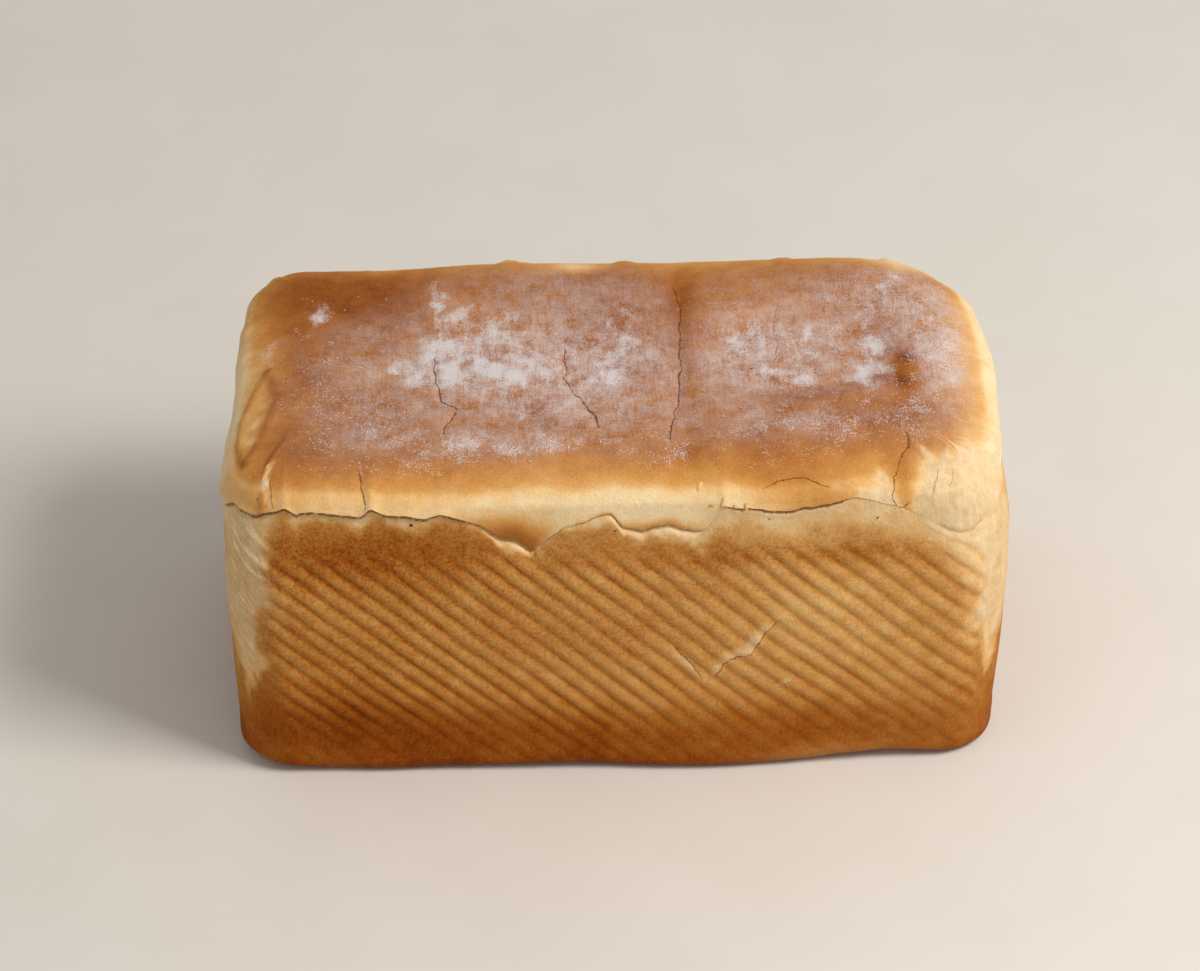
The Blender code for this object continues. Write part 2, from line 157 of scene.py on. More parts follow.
@dataclass(frozen=True)
class TinForm:
    """The loaf's form: how far each point of a box-shaped net lies in from the tin's outline, and how high.

    Attributes:
        length: length of the tin.
        width: its width.
        break_height: mean height of the break.
        crown_height: height of the crown before its dips and waves.
        corner_radius: radius of the upright corners.
        base_radius: radius of the base's edge.
        shoulder_inset: how far in the shoulder ends.
        shoulder_start: least height at which it starts.
        shoulder_lean: share of its inset that grows evenly; the rest follows a quarter circle.
        base_taper: how much further in the base lies than the break.
        waist_swell: how far the walls swell at half height.
        side_bow: how far the middle of a long side bows out.
        left_draw: how far the left end is drawn in at the back.
        right_swell: how far the right end swells.
        roll: height of the rim under the break, and of the lip over it.
        foot_reach: width of the outermost strip of the base.
        rib_pitch_start: pitch of the ribs at a side's left end, square to them.
        rib_pitch_end: their pitch at its right end.
        rib_depth: how far a rib stands out of its valley.
        rib_high: height up to which the pitch is reckoned.
        rib_roundness: power that makes their ridges round and their valleys narrow.
        rib_margins: bare width at a long side's left end, at any side's right end, at a short side's left.
        rib_share_ends: how strong the ribs of the short sides are.
        fold_reach_mm: how far a fold of dough reaches on each side of its line.
        fold_out_mm: how far it stands out.
        fold_up_mm: how far it stands up.
        groove_reach_mm: how far a crack's groove reaches on each side of its line.
        groove_depth_mm: its depth.
        front_blend: how far round its corners the front reaches.
        calm: half the length of the middle, which neither end's draw or swell reaches.
        oval_depth: depth of the sunk oval of the crown.
        dish_depth: depth of its shallow dish.
        seam_x: place of the seam across it.
        seam_depth: depth of the seam.
        oval_mm: the oval's middle and its half sizes.
        dish_mm: the dish's.
        back_waves_mm: waves of the crown's back, each a place, a height and a reach.
        front_break_mm: the break along the front, each point an x and a height.
        front_edges: its two edges there.
        base_lifts_mm: where the base's edge lifts off, each a place, a height and a reach.
        foot_bulges_mm: where the foot bulges, each a place, a distance and a reach.
        crown_corners: for each corner the signs of x and y, and how far in millimetres its body and its crown
            are drawn in, and over what reach.
    """

    length: float = 238.5 * MM
    width: float = 119 * MM
    break_height: float = 106 * MM
    crown_height: float = 117 * MM
    corner_radius: float = 19 * MM
    base_radius: float = 5 * MM
    shoulder_inset: float = 23 * MM
    shoulder_start: float = 108.5 * MM
    shoulder_lean: float = 0.25
    base_taper: float = 1.2 * MM
    waist_swell: float = 1.0 * MM
    side_bow: float = 1.0 * MM
    left_draw: float = 6.5 * MM
    right_swell: float = 2.6 * MM
    roll: float = 5 * MM
    foot_reach: float = 12 * MM
    rib_pitch_start: float = 5.1 * MM
    rib_pitch_end: float = 6.1 * MM
    rib_depth: float = 0.95 * MM
    rib_high: float = 92 * MM
    rib_roundness: float = 2.1
    rib_margins: tuple[float, float, float] = (14 * MM, 7 * MM, 24 * MM)
    rib_share_ends: float = 0.3
    fold_reach_mm: float = 1.1
    fold_out_mm: float = 0.75
    fold_up_mm: float = 0.6
    groove_reach_mm: float = 0.9
    groove_depth_mm: float = 0.45
    front_blend: float = 12 * MM
    calm: float = 20 * MM
    oval_depth: float = 2.3 * MM
    dish_depth: float = 0.9 * MM
    seam_x: float = 22 * MM
    seam_depth: float = 0.8 * MM
    oval_mm: tuple[float, float, float, float] = (60, 4, 33, 25)
    dish_mm: tuple[float, float, float, float] = (-40, 0, 62, 38)
    back_waves_mm: tuple[tuple[float, float, float], ...] = ((80, 1.3, 30), (-38, 0.8, 22), (-75, -1.2, 18))
    front_break_mm: tuple[tuple[float, float], ...] = (
        (-119, 106.5), (-111, 106.5), (-101, 111), (-97, 108.5), (-92, 110), (-82, 107), (-77, 107),
        (-74, 110), (-69, 107.3), (-57, 105.5), (-53, 107.3), (-41, 102), (-35, 95), (-30, 94.5),
        (-25.5, 89.5), (-16, 99.5), (-9, 102), (-4, 105), (-1, 104.5), (2, 99.5), (8, 97), (16, 99.7),
        (21, 97), (27, 97.5), (32.5, 108), (53, 104.7), (73, 109.6), (88, 104), (99, 96), (108, 92),
        (119, 97),
    )  # fmt: skip
    front_edges: tuple[Stretch, ...] = (
        Stretch(-119, 2.0, 0.0, 1.5, 14), Stretch(-100, 1.4, 0.0, 1.9, 5), Stretch(-60, 1.3, 0.1, 1.9, 3.8),
        Stretch(-42, 0.3, 0.3, 1.6, 2.5), Stretch(-25, -0.6, 0.5, 1.7, 0.6), Stretch(-14, 0.0, 0.5, 0.8, 2.5),
        Stretch(5, -0.3, 0.45, 1.7, 3), Stretch(24, -0.2, 0.45, 1.6, 3.8), Stretch(28, 0.0, 0.0, 0.3, 6),
        Stretch(31, 0.3, 0.0, 0.6, 9), Stretch(36, 0.7, 0.6, 1.7, 11), Stretch(68, 0.7, 0.6, 1.7, 12),
        Stretch(75, 0.2, 0.0, 0.3, 12), Stretch(96, 0.0, 0.0, 0.0, 11), Stretch(101, 0.2, 0.1, 0.6, 13),
        Stretch(112, 0.2, 0.1, 0.6, 18), Stretch(119, 0.6, 0.0, 0.6, 26),
    )  # fmt: skip
    base_lifts_mm: tuple[tuple[float, float, float], ...] = (
        (0, 2.2, 22), (100, 0.8, 22), (199, 2.0, 20), (300, 1.6, 24), (420, 1.3, 30), (560, 1.8, 30),
    )  # fmt: skip
    foot_bulges_mm: tuple[tuple[float, float, float], ...] = (
        (152, 2.6, 34), (330, 1.2, 30), (460, 1.6, 34), (640, 1.0, 24),
    )  # fmt: skip
    crown_corners: tuple[tuple[int, int, float, float, float], ...] = (
        (1, 1, 3.0, 4.5, 26), (1, -1, 1.2, 2.0, 24), (-1, -1, 0.4, 1.8, 22), (-1, 1, 0.5, 0.8, 16),
    )  # fmt: skip

    @property
    def half_length(self) -> float:
        """Half the tin's length."""
        return self.length / 2

    @property
    def half_width(self) -> float:
        """Half the tin's width."""
        return self.width / 2

    @property
    def core_x(self) -> float:
        """Where the straight part of the long sides ends."""
        return self.half_length - self.corner_radius

    @property
    def core_y(self) -> float:
        """Where the straight part of the short sides ends."""
        return self.half_width - self.corner_radius

    @property
    def girth(self) -> float:
        """The way round the net."""
        return 2 * (self.length + self.width)

    @property
    def net_top(self) -> float:
        """Band where the shoulder ends and the flat of the crown starts."""
        return self.break_height + self.roll + self.shoulder_inset

    def place(self, x: Array, y: Array) -> Array:
        """Way round the net to a point of its walls, from the front left corner, anticlockwise from above.

        Args:
            x: coordinate along the loaf.
            y: coordinate across it.

        Returns:
            The way in metres.
        """
        near = 0.01 * MM
        front, right = x + self.half_length, self.length + y + self.half_width
        back = self.length + self.width + self.half_length - x
        left = 2 * self.length + self.width + self.half_width - y
        on_side = [y < -self.half_width + near, x > self.half_length - near, y > self.half_width - near]
        return np.select(on_side, [front, right, back], left)

    def unrolled(self, place: Array) -> Array:
        """The same way round, negative on the left side, so that it runs on through the front left corner."""
        return np.where(place > self.length + self.width + self.half_length, place - self.girth, place)

    def side(self, place: Array) -> tuple[Array, Array]:
        """Which side a place is on.

        Args:
            place: way round the net.

        Returns:
            The way along that side from its left end seen from outside, and its length.
        """
        starts = np.array([0, self.length, self.length + self.width, 2 * self.length + self.width])
        number = np.clip(np.searchsorted(starts, place, side="right") - 1, 0, 3)
        return place - starts[number], np.where(number % 2 == 0, self.length, self.width)

    def waves(self, place: Array, *terms: tuple[int, float, float]) -> Array:
        """A sum of sines round the loaf, each of a number of whole waves, a height in mm and a phase."""
        turn = 2 * math.pi * place / self.girth
        return sum(height * MM * np.sin(count * turn + phase) for count, height, phase in terms)

    def front_share(self, place: Array) -> Array:
        """One along the front, zero elsewhere, eased over its two corners.

        Args:
            place: way round the net.

        Returns:
            The share.
        """
        signed = self.unrolled(place)
        start = eased(-self.front_blend, self.front_blend / 2, signed)
        return start * (1 - eased(self.length - self.front_blend / 2, self.length + self.front_blend, signed))

    def break_edges(self, place: Array) -> dict[str, Array]:
        """The break at each place: along the front as drawn, elsewhere as sums of sines.

        Args:
            place: way round the net.

        Returns:
            top, the height of the crevice, level, that height smoothed over a few millimetres, and lip, rim,
            crevice and pale as Stretch names them.
        """
        share = self.front_share(place)
        x_mm = (self.unrolled(place) - self.half_length) / MM
        line = np.array(self.front_break_mm).T
        ragged = Noise(11).at(np.column_stack([place, place * 0]), 3.2 * MM) * 0.55 * MM
        ragged += Noise(12).at(np.column_stack([place, place * 0]), 1.5 * MM) * 0.3 * MM
        elsewhere = {
            "top": self.break_height + self.waves(place, (6, 1.6, 0), (17, 1.8, 1), (41, 1.1, 2)),
            "lip": self.waves(place, (5, 0.6, 1), (13, 0.5, 4)) + 0.7 * MM,
            "rim": self.waves(place, (7, 0.4, 3)) + 0.4 * MM,
            "crevice": self.waves(place, (9, 0.4, 0)) + 1.1 * MM,
            "pale": self.waves(place, (4, 3.0, 2), (11, 2.0, 0)) + 10 * MM,
        }
        elsewhere["level"] = self.break_height + self.waves(place, (6, 1.6, 0))
        edges = {"top": np.interp(x_mm, *line) * MM}
        edges["level"] = sum(np.interp(x_mm + shift, *line) for shift in (-12, -8, -4, 0, 4, 8, 12)) / 7 * MM
        stations = [stretch.x_mm for stretch in self.front_edges]
        for name in ("lip", "rim", "crevice", "pale"):
            edges[name] = np.interp(x_mm, stations, [getattr(s, name) for s in self.front_edges]) * MM
        mixed = {name: share * edges[name] + (1 - share) * elsewhere[name] for name in edges}
        mixed["top"] = mixed["top"] + ragged * eased(0, 0.6 * MM, mixed["crevice"])
        return mixed

    def rib_count(self, distance: Array) -> Array:
        """Ribs before a distance square to them; their number a metre falls evenly from start to end.

        Args:
            distance: the distance.

        Returns:
            The distance over the first pitch, plus its square times half the rate at which their number a
            metre changes.
        """
        span = (self.length + self.rib_high) / math.sqrt(2)
        change = (1 / self.rib_pitch_end - 1 / self.rib_pitch_start) / span
        return distance / self.rib_pitch_start + change * distance**2 / 2

    def ribs(self, place: Array, height: Array) -> tuple[Array, Array]:
        """The ribs at 45 degrees: one minus a power of the way from a rounded ridge to a narrow valley.

        Args:
            place: way round the net.
            height: height above the base.

        Returns:
            The ridge, from 0 in a valley to 1 on a ridge, and how strongly the ribs show, from 0 to 1.
        """
        along, side = self.side(place)
        spot = np.column_stack([place, height])
        sway = Noise(21).at(spot, 26 * MM) * 0.12 + Noise(22).at(spot, 9 * MM) * 0.05
        count = self.rib_count((along + height) / math.sqrt(2)) + sway
        ridge = 1 - np.abs(2 * (count % 1) - 1) ** self.rib_roundness
        inside = np.minimum(along, side - along)
        wander = Noise(23).at(spot, 14 * MM) * 4 * MM
        left, right, short_left = self.rib_margins
        margin = np.where(along < side / 2, np.where(side < self.length, short_left, left), right)
        shown = eased(margin * 0.6, margin * 1.3, inside + wander * 0.6)
        shown = shown * (0.3 + 0.7 * eased(12 * MM, 34 * MM, height + wander))
        shown = shown * eased(0, 8 * MM, height) * (1 - eased(82 * MM, 96 * MM, height + wander * 0.7))
        shown = shown * (0.85 + 0.3 * Noise(24).at(spot, 30 * MM))
        return ridge, shown * np.where(side < self.length, self.rib_share_ends, 1)

    @staticmethod
    def from_middle(x: Array, y: Array, oval_mm: tuple[float, float, float, float]) -> tuple[Array, Array]:
        """How far a place lies from an oval's middle each way, over the oval's half sizes."""
        middle_x, middle_y, half_x, half_y = (size * MM for size in oval_mm)
        return (x - middle_x) / half_x, (y - middle_y) / half_y

    def crown(self, x: Array, y: Array) -> Array:
        """Height of the flat of the crown: a sunk oval at the right, a shallow dish, a seam and waves.

        Args:
            x: coordinate along the loaf.
            y: coordinate across it.

        Returns:
            The height.
        """
        spot = np.column_stack([x, y])
        wobble = Noise(31).at(spot, 17 * MM) * 0.1
        oval = np.hypot(*self.from_middle(x, y, self.oval_mm)) + wobble
        dish = np.hypot(*self.from_middle(x, y, self.dish_mm)) + wobble
        sunk = self.oval_depth * (1 - eased(0.62, 1.12, oval)) + self.dish_depth * (1 - eased(0.5, 1.1, dish))
        seam = self.seam_depth * hump(x, self.seam_x, 5 * MM)
        back = sum(rise * MM * hump(x, centre * MM, reach * MM) for centre, rise, reach in self.back_waves_mm)
        fine = 0.35 * MM * Noise(32).at(spot, 22 * MM) + 0.16 * MM * Noise(33).at(spot, 8 * MM)
        return self.crown_height - sunk - seam + back * eased(0, self.half_width, y) + fine

    def draw_in(self, x: Array, y: Array, inset: Array) -> tuple[Array, Array]:
        """Draws the net's outline in by inset and rounds its corners.

        A square corner becomes a round one by the share max(x, y) / hypot(x, y) of the way from its centre.

        Args:
            x: net coordinate along the loaf.
            y: net coordinate across it.
            inset: how far each point lies in from the tin's outline.

        Returns:
            The two coordinates in plan.
        """
        over_x = np.maximum(np.abs(x) - self.core_x, 0)
        over_y = np.maximum(np.abs(y) - self.core_y, 0)
        squeeze = np.maximum(over_x, over_y) / np.maximum(np.hypot(over_x, over_y), 1e-12)
        radius = np.maximum(self.corner_radius - inset, self.corner_radius * 0.25)
        scale = radius / self.corner_radius
        straight_x = np.minimum(np.abs(x), self.core_x) / self.core_x * (self.half_length - inset - radius)
        straight_y = np.minimum(np.abs(y), self.core_y) / self.core_y * (self.half_width - inset - radius)
        plan_x = np.sign(x) * (straight_x + over_x * squeeze * scale)
        plan_y = np.sign(y) * (straight_y + over_y * squeeze * scale)
        return plan_x, plan_y

    def along_foot(self, place: Array, band: Array, bumps_mm: Sequence[tuple[float, float, float]]) -> Array:
        """A sum of bumps along the foot of the walls, easing out with height.

        Args:
            place: way round the net.
            band: height on the net.
            bumps_mm: a place, an amount and a reach each.

        Returns:
            The sum.
        """
        total = np.zeros_like(place)
        for centre, amount, reach in bumps_mm:
            gap = np.abs(place - centre * MM)
            total += amount * MM * hump(np.minimum(gap, self.girth - gap), 0, reach * MM)
        return total * (1 - eased(0, 0.4 * self.break_height, band))

    def settle(self, x: Array, y: Array, z: Array) -> Array:
        """Draws the left end in towards the back, swells the right end and draws the top corners in.

        Args:
            x: coordinate along the loaf.
            y: coordinate across it.
            z: height.

        Returns:
            The points, in rows.
        """
        inward = eased(-self.half_width, self.half_width, y) * eased(-self.calm, -self.half_length, x)
        outward = eased(self.calm, self.half_length, x) * (1 - eased(84 * MM, 112 * MM, z))
        x = x + self.left_draw * inward
        x = x + self.right_swell * outward
        for side_x, side_y, body, crown, reach in self.crown_corners:
            away = np.hypot(side_x * x - self.half_length, side_y * y - self.half_width)
            pull = body * eased(70 * MM, 104 * MM, z) + crown * eased(102 * MM, 110 * MM, z)
            pull = pull * MM * hump(away, 0, reach * MM) / math.sqrt(2)
            x, y, z = x - side_x * pull, y - side_y * pull, z - 0.5 * pull
        return np.column_stack([x, y, z])


@dataclass
class Net:
    """The box-shaped net that the skin is worked out on: rings up the walls, and a grid over the crown.

    Attributes:
        form: the sizes it covers.
        column: widest step along a wall, and up it.
        break_rows: rows across the rim, and again across the lip.
        shoulder_rows: rows over the shoulder.
        foot_rows: rows from the flat of the base out to its edge.
        x: coordinate of each point along the loaf.
        y: coordinate across it.
        band: height up the walls and on over the shoulder.
        ring: points in one ring.
        rows: number of rings.
        cap: numbers of the points of the crown's grid.
    """

    form: TinForm
    column: float = 1.17 * MM
    break_rows: int = 10
    shoulder_rows: int = 22
    foot_rows: int = 4
    x: Array = field(init=False)
    y: Array = field(init=False)
    band: Array = field(init=False)
    ring: int = field(init=False)
    rows: int = field(init=False)
    cap: NDArray[np.int64] = field(init=False)

    def __post_init__(self) -> None:
        """Lays out the net's points: every ring from the base up, then the inside of the crown's grid."""
        form = self.form
        across, deep = self.stations(form.core_x), self.stations(form.core_y)
        front = np.column_stack([across[:-1], np.full(len(across) - 1, -form.half_width)])
        right = np.column_stack([np.full(len(deep) - 1, form.half_length), deep[:-1]])
        outline = np.vstack([front, right, -front, -right])
        bands = self.bands()
        self.ring, self.rows = len(outline), len(bands)
        inner_x, inner_y = np.meshgrid(across[1:-1], deep[1:-1])
        self.x = np.concatenate([np.tile(outline[:, 0], self.rows), inner_x.ravel()])
        self.y = np.concatenate([np.tile(outline[:, 1], self.rows), inner_y.ravel()])
        self.band = np.concatenate([np.repeat(bands, self.ring), np.full(inner_x.size, form.net_top)])
        self.cap = self.cap_indices(len(across), len(deep))

    def stations(self, core: float) -> Array:
        """Steps along one side: equal ones, then equal angles over its two rounded corners.

        Args:
            core: half the side's straight part.

        Returns:
            The coordinates, from the least up.
        """
        radius = self.form.corner_radius
        fan = round(radius * math.pi / 4 / self.column)
        over = core + radius * np.tan(np.arange(1, fan + 1) / fan * math.pi / 4)
        count = math.ceil(2 * core / self.column)
        return np.concatenate([-over[::-1], np.linspace(-core, core, count + 1), over])

    def bands(self) -> Array:
        """Heights of the rings: base, upright wall, rim, lip and shoulder. Below zero lies the base's flat.

        Returns:
            The heights, from the bottom up.
        """
        form = self.form
        foot = np.linspace(-form.foot_reach, 0, self.foot_rows)[:-1]
        edge = np.linspace(0, form.base_radius, 7)[:-1]
        rim = form.break_height - form.roll
        wall = np.linspace(form.base_radius, rim, round((rim - form.base_radius) / self.column) + 1)[:-1]
        step = form.roll / self.break_rows
        torn = np.arange(rim, form.break_height + form.roll - step / 2, step)
        shoulder = np.linspace(form.break_height + form.roll, form.net_top, self.shoulder_rows)
        return np.concatenate([foot, edge, wall, torn, shoulder])

    def cap_indices(self, across: int, deep: int) -> NDArray[np.int64]:
        """Numbers of the points of the crown's grid, row by row, with the top ring as its border.

        Args:
            across: points along the loaf.
            deep: points across it.

        Returns:
            The grid of numbers.
        """
        top = (self.rows - 1) * self.ring
        start = self.rows * self.ring
        grid = np.zeros((deep, across), dtype=np.int64)
        grid[1:-1, 1:-1] = start + np.arange((deep - 2) * (across - 2)).reshape(deep - 2, across - 2)
        long, short = across - 1, deep - 1
        grid[0, :-1] = top + np.arange(long)
        grid[:-1, -1] = top + long + np.arange(short)
        grid[-1, 1:] = top + long + short + np.arange(long)[::-1]
        grid[1:, 0] = top + 2 * long + short + np.arange(short)[::-1]
        return grid

    def faces(self) -> list[list[int]]:
        """Faces of the closed skin, outward: walls split along the ribs, crown in fours, base in strips.

        Returns:
            The numbers of each face's points.
        """
        row, column = np.meshgrid(np.arange(self.rows - 1), np.arange(self.ring), indexing="ij")
        low = row * self.ring + column
        low_next = row * self.ring + (column + 1) % self.ring
        high, high_next = low + self.ring, low_next + self.ring
        lower = np.stack([low, low_next, high], axis=-1).reshape(-1, 3)
        upper = np.stack([low_next, high_next, high], axis=-1).reshape(-1, 3)
        cap = self.cap
        crown = np.stack([cap[:-1, :-1], cap[:-1, 1:], cap[1:, 1:], cap[1:, :-1]], axis=-1).reshape(-1, 4)
        long, short = cap.shape[1] - 1, cap.shape[0] - 1
        front = np.arange(long + 1)
        back = (2 * long + short - front) % self.ring
        strips = np.column_stack([front[2:-1], front[1:-2], back[1:-2], back[2:-1]])
        left_end = [1, 0, *range(self.ring - 1, 2 * long + short - 1, -1), 2 * long + short - 1]
        right_end = [*range(long - 1, long + short + 2)][::-1]
        return [*lower.tolist(), *upper.tolist(), *crown.tolist(), *strips.tolist(), left_end, right_end]


class Link:
    """One socket of a material that is being made. Sums of links add Math nodes."""

    def __init__(self, graph: Graph, socket: Any) -> None:
        """Keeps the material's graph and the socket that gives the value."""
        self.graph = graph
        self.socket = socket

    def __add__(self, other: Link | float) -> Link:
        """The sum."""
        return self.graph.math("ADD", self, other)

    def __radd__(self, other: float) -> Link:
        """The sum, with a number on the left."""
        return self.graph.math("ADD", other, self)

    def __sub__(self, other: Link | float) -> Link:
        """The difference."""
        return self.graph.math("SUBTRACT", self, other)

    def __rsub__(self, other: float) -> Link:
        """The difference, with a number on the left."""
        return self.graph.math("SUBTRACT", other, self)

    def __mul__(self, other: Link | float) -> Link:
        """The product."""
        return self.graph.math("MULTIPLY", self, other)

    def __rmul__(self, other: float) -> Link:
        """The product, with a number on the left."""
        return self.graph.math("MULTIPLY", other, self)

    def __truediv__(self, other: Link | float) -> Link:
        """The quotient."""
        return self.graph.math("DIVIDE", self, other)

    def __rtruediv__(self, other: float) -> Link:
        """The quotient, with a number on the left."""
        return self.graph.math("DIVIDE", other, self)

    def __abs__(self) -> Link:
        """The size without its sign."""
        return self.graph.math("ABSOLUTE", self)


@dataclass(frozen=True)
class Blobs:
    """A material's noise: the size of its blobs, how many finer ones it adds, and how strong those are."""

    size_mm: float
    detail: float = 2.0
    roughness: float = 0.55


class Graph:
    """The node graph of one material, with its shader at the end."""

    def __init__(self, name: str) -> None:
        """Starts a material with nothing but its shader and its output.

        Args:
            name: the material's name.
        """
        self.material = bpy.data.materials.new(name)
        self.material.use_nodes = True
        self.tree = self.material.node_tree
        self.shader = self.tree.nodes["Principled BSDF"]

    def add(
        self,
        kind: str,
        settings: Mapping[str, Any] | None = None,
        inputs: Mapping[int | str, Any] | None = None,
        output: int | str = 0,
    ) -> Link:
        """Adds a node.

        Args:
            kind: the node's type.
            settings: its properties, or a ramp's stops under "stops", set first.
            inputs: values or links of its sockets, by number or name.
            output: which of its outputs to hand back.

        Returns:
            That output.
        """
        node = self.tree.nodes.new(kind)
        for key, value in (settings or {}).items():
            if key == "stops":
                self.set_stops(node.color_ramp, value)
            else:
                setattr(node, key, value)
        for key, value in (inputs or {}).items():
            self.feed(node.inputs[key], value)
        return Link(self, node.outputs[output])

    @staticmethod
    def set_stops(ramp: Any, stops: Sequence[tuple[float, Colour]]) -> None:
        """Gives a colour ramp its stops.

        Args:
            ramp: the ramp.
            stops: a position and a colour each.
        """
        while len(ramp.elements) < len(stops):
            ramp.elements.new(1.0)
        for element, (position, colour) in zip(ramp.elements, stops):
            element.position = position
            element.color = colour

    def feed(self, socket: Any, value: Any) -> None:
        """Links a socket to a link's output, or sets its value.

        Args:
            socket: the socket.
            value: a link, or a number, colour or vector.
        """
        if isinstance(value, Link):
            self.tree.links.new(value.socket, socket)
        else:
            socket.default_value = value

    def math(self, operation: str, *values: Link | float, clamp: bool = False) -> Link:
        """A Math node of an operation on one to three values."""
        settings = {"operation": operation, "use_clamp": clamp}
        return self.add("ShaderNodeMath", settings, dict(enumerate(values)))

    def step(self, value: Link, low: float, high: float) -> Link:
        """Zero at low and below, one at high and above, smooth between; low may be the larger one.

        Args:
            value: what is measured.
            low: where the step starts.
            high: where it ends.

        Returns:
            The step.
        """
        if low > high:
            return 1 - self.step(value, high, low)
        settings = {"interpolation_type": "SMOOTHSTEP", "clamp": True}
        return self.add("ShaderNodeMapRange", settings, {0: value, 1: low, 2: high, 3: 0.0, 4: 1.0})

    def mix(self, share: Link | float, first: Any, second: Any, blend: str = "MIX") -> Link:
        """A colour mixed from two by a share of the second."""
        settings = {"data_type": "RGBA", "blend_type": blend, "clamp_factor": True}
        return self.add("ShaderNodeMix", settings, {0: share, 6: first, 7: second}, output=2)

    def ramp(self, value: Link, stops: Sequence[tuple[float, Colour]]) -> Link:
        """A colour read from a ramp."""
        return self.add("ShaderNodeValToRGB", {"stops": stops}, {0: value})

    def attribute(self, name: str) -> Link:
        """A value stored on the piece's points."""
        return self.add("ShaderNodeAttribute", {"attribute_name": name}, output="Fac")

    def axis(self, place: Link, name: str) -> Link:
        """One coordinate of a place: X, Y or Z."""
        return self.add("ShaderNodeSeparateXYZ", None, {0: place}, output=name)

    def place_mm(self, stretch: tuple[float, float, float] = (1, 1, 1)) -> Link:
        """The place on the piece in millimetres, each axis times its stretch."""
        inputs = {0: self.add("ShaderNodeTexCoord", output="Object"), 1: tuple(part / MM for part in stretch)}
        return self.add("ShaderNodeVectorMath", {"operation": "MULTIPLY"}, inputs)

    def noise(self, place: Link, blobs: Blobs) -> Link:
        """Noise from about 0.2 to 0.8."""
        inputs = {"Scale": 1 / blobs.size_mm, "Detail": blobs.detail, "Roughness": blobs.roughness}
        return self.add("ShaderNodeTexNoise", {"noise_dimensions": "3D"}, {"Vector": place, **inputs})

    def swing(self, place: Link, blobs: Blobs) -> Link:
        """The same noise, about zero."""
        return self.noise(place, blobs) - 0.5

    def finish(self, **inputs: Any) -> Any:
        """Sets or links the shader's sockets.

        Args:
            inputs: values or links by the sockets' names, with _ for each space.

        Returns:
            The finished material.
        """
        for name, value in inputs.items():
            self.feed(self.shader.inputs[name.replace("_", " ")], value)
        return self.material


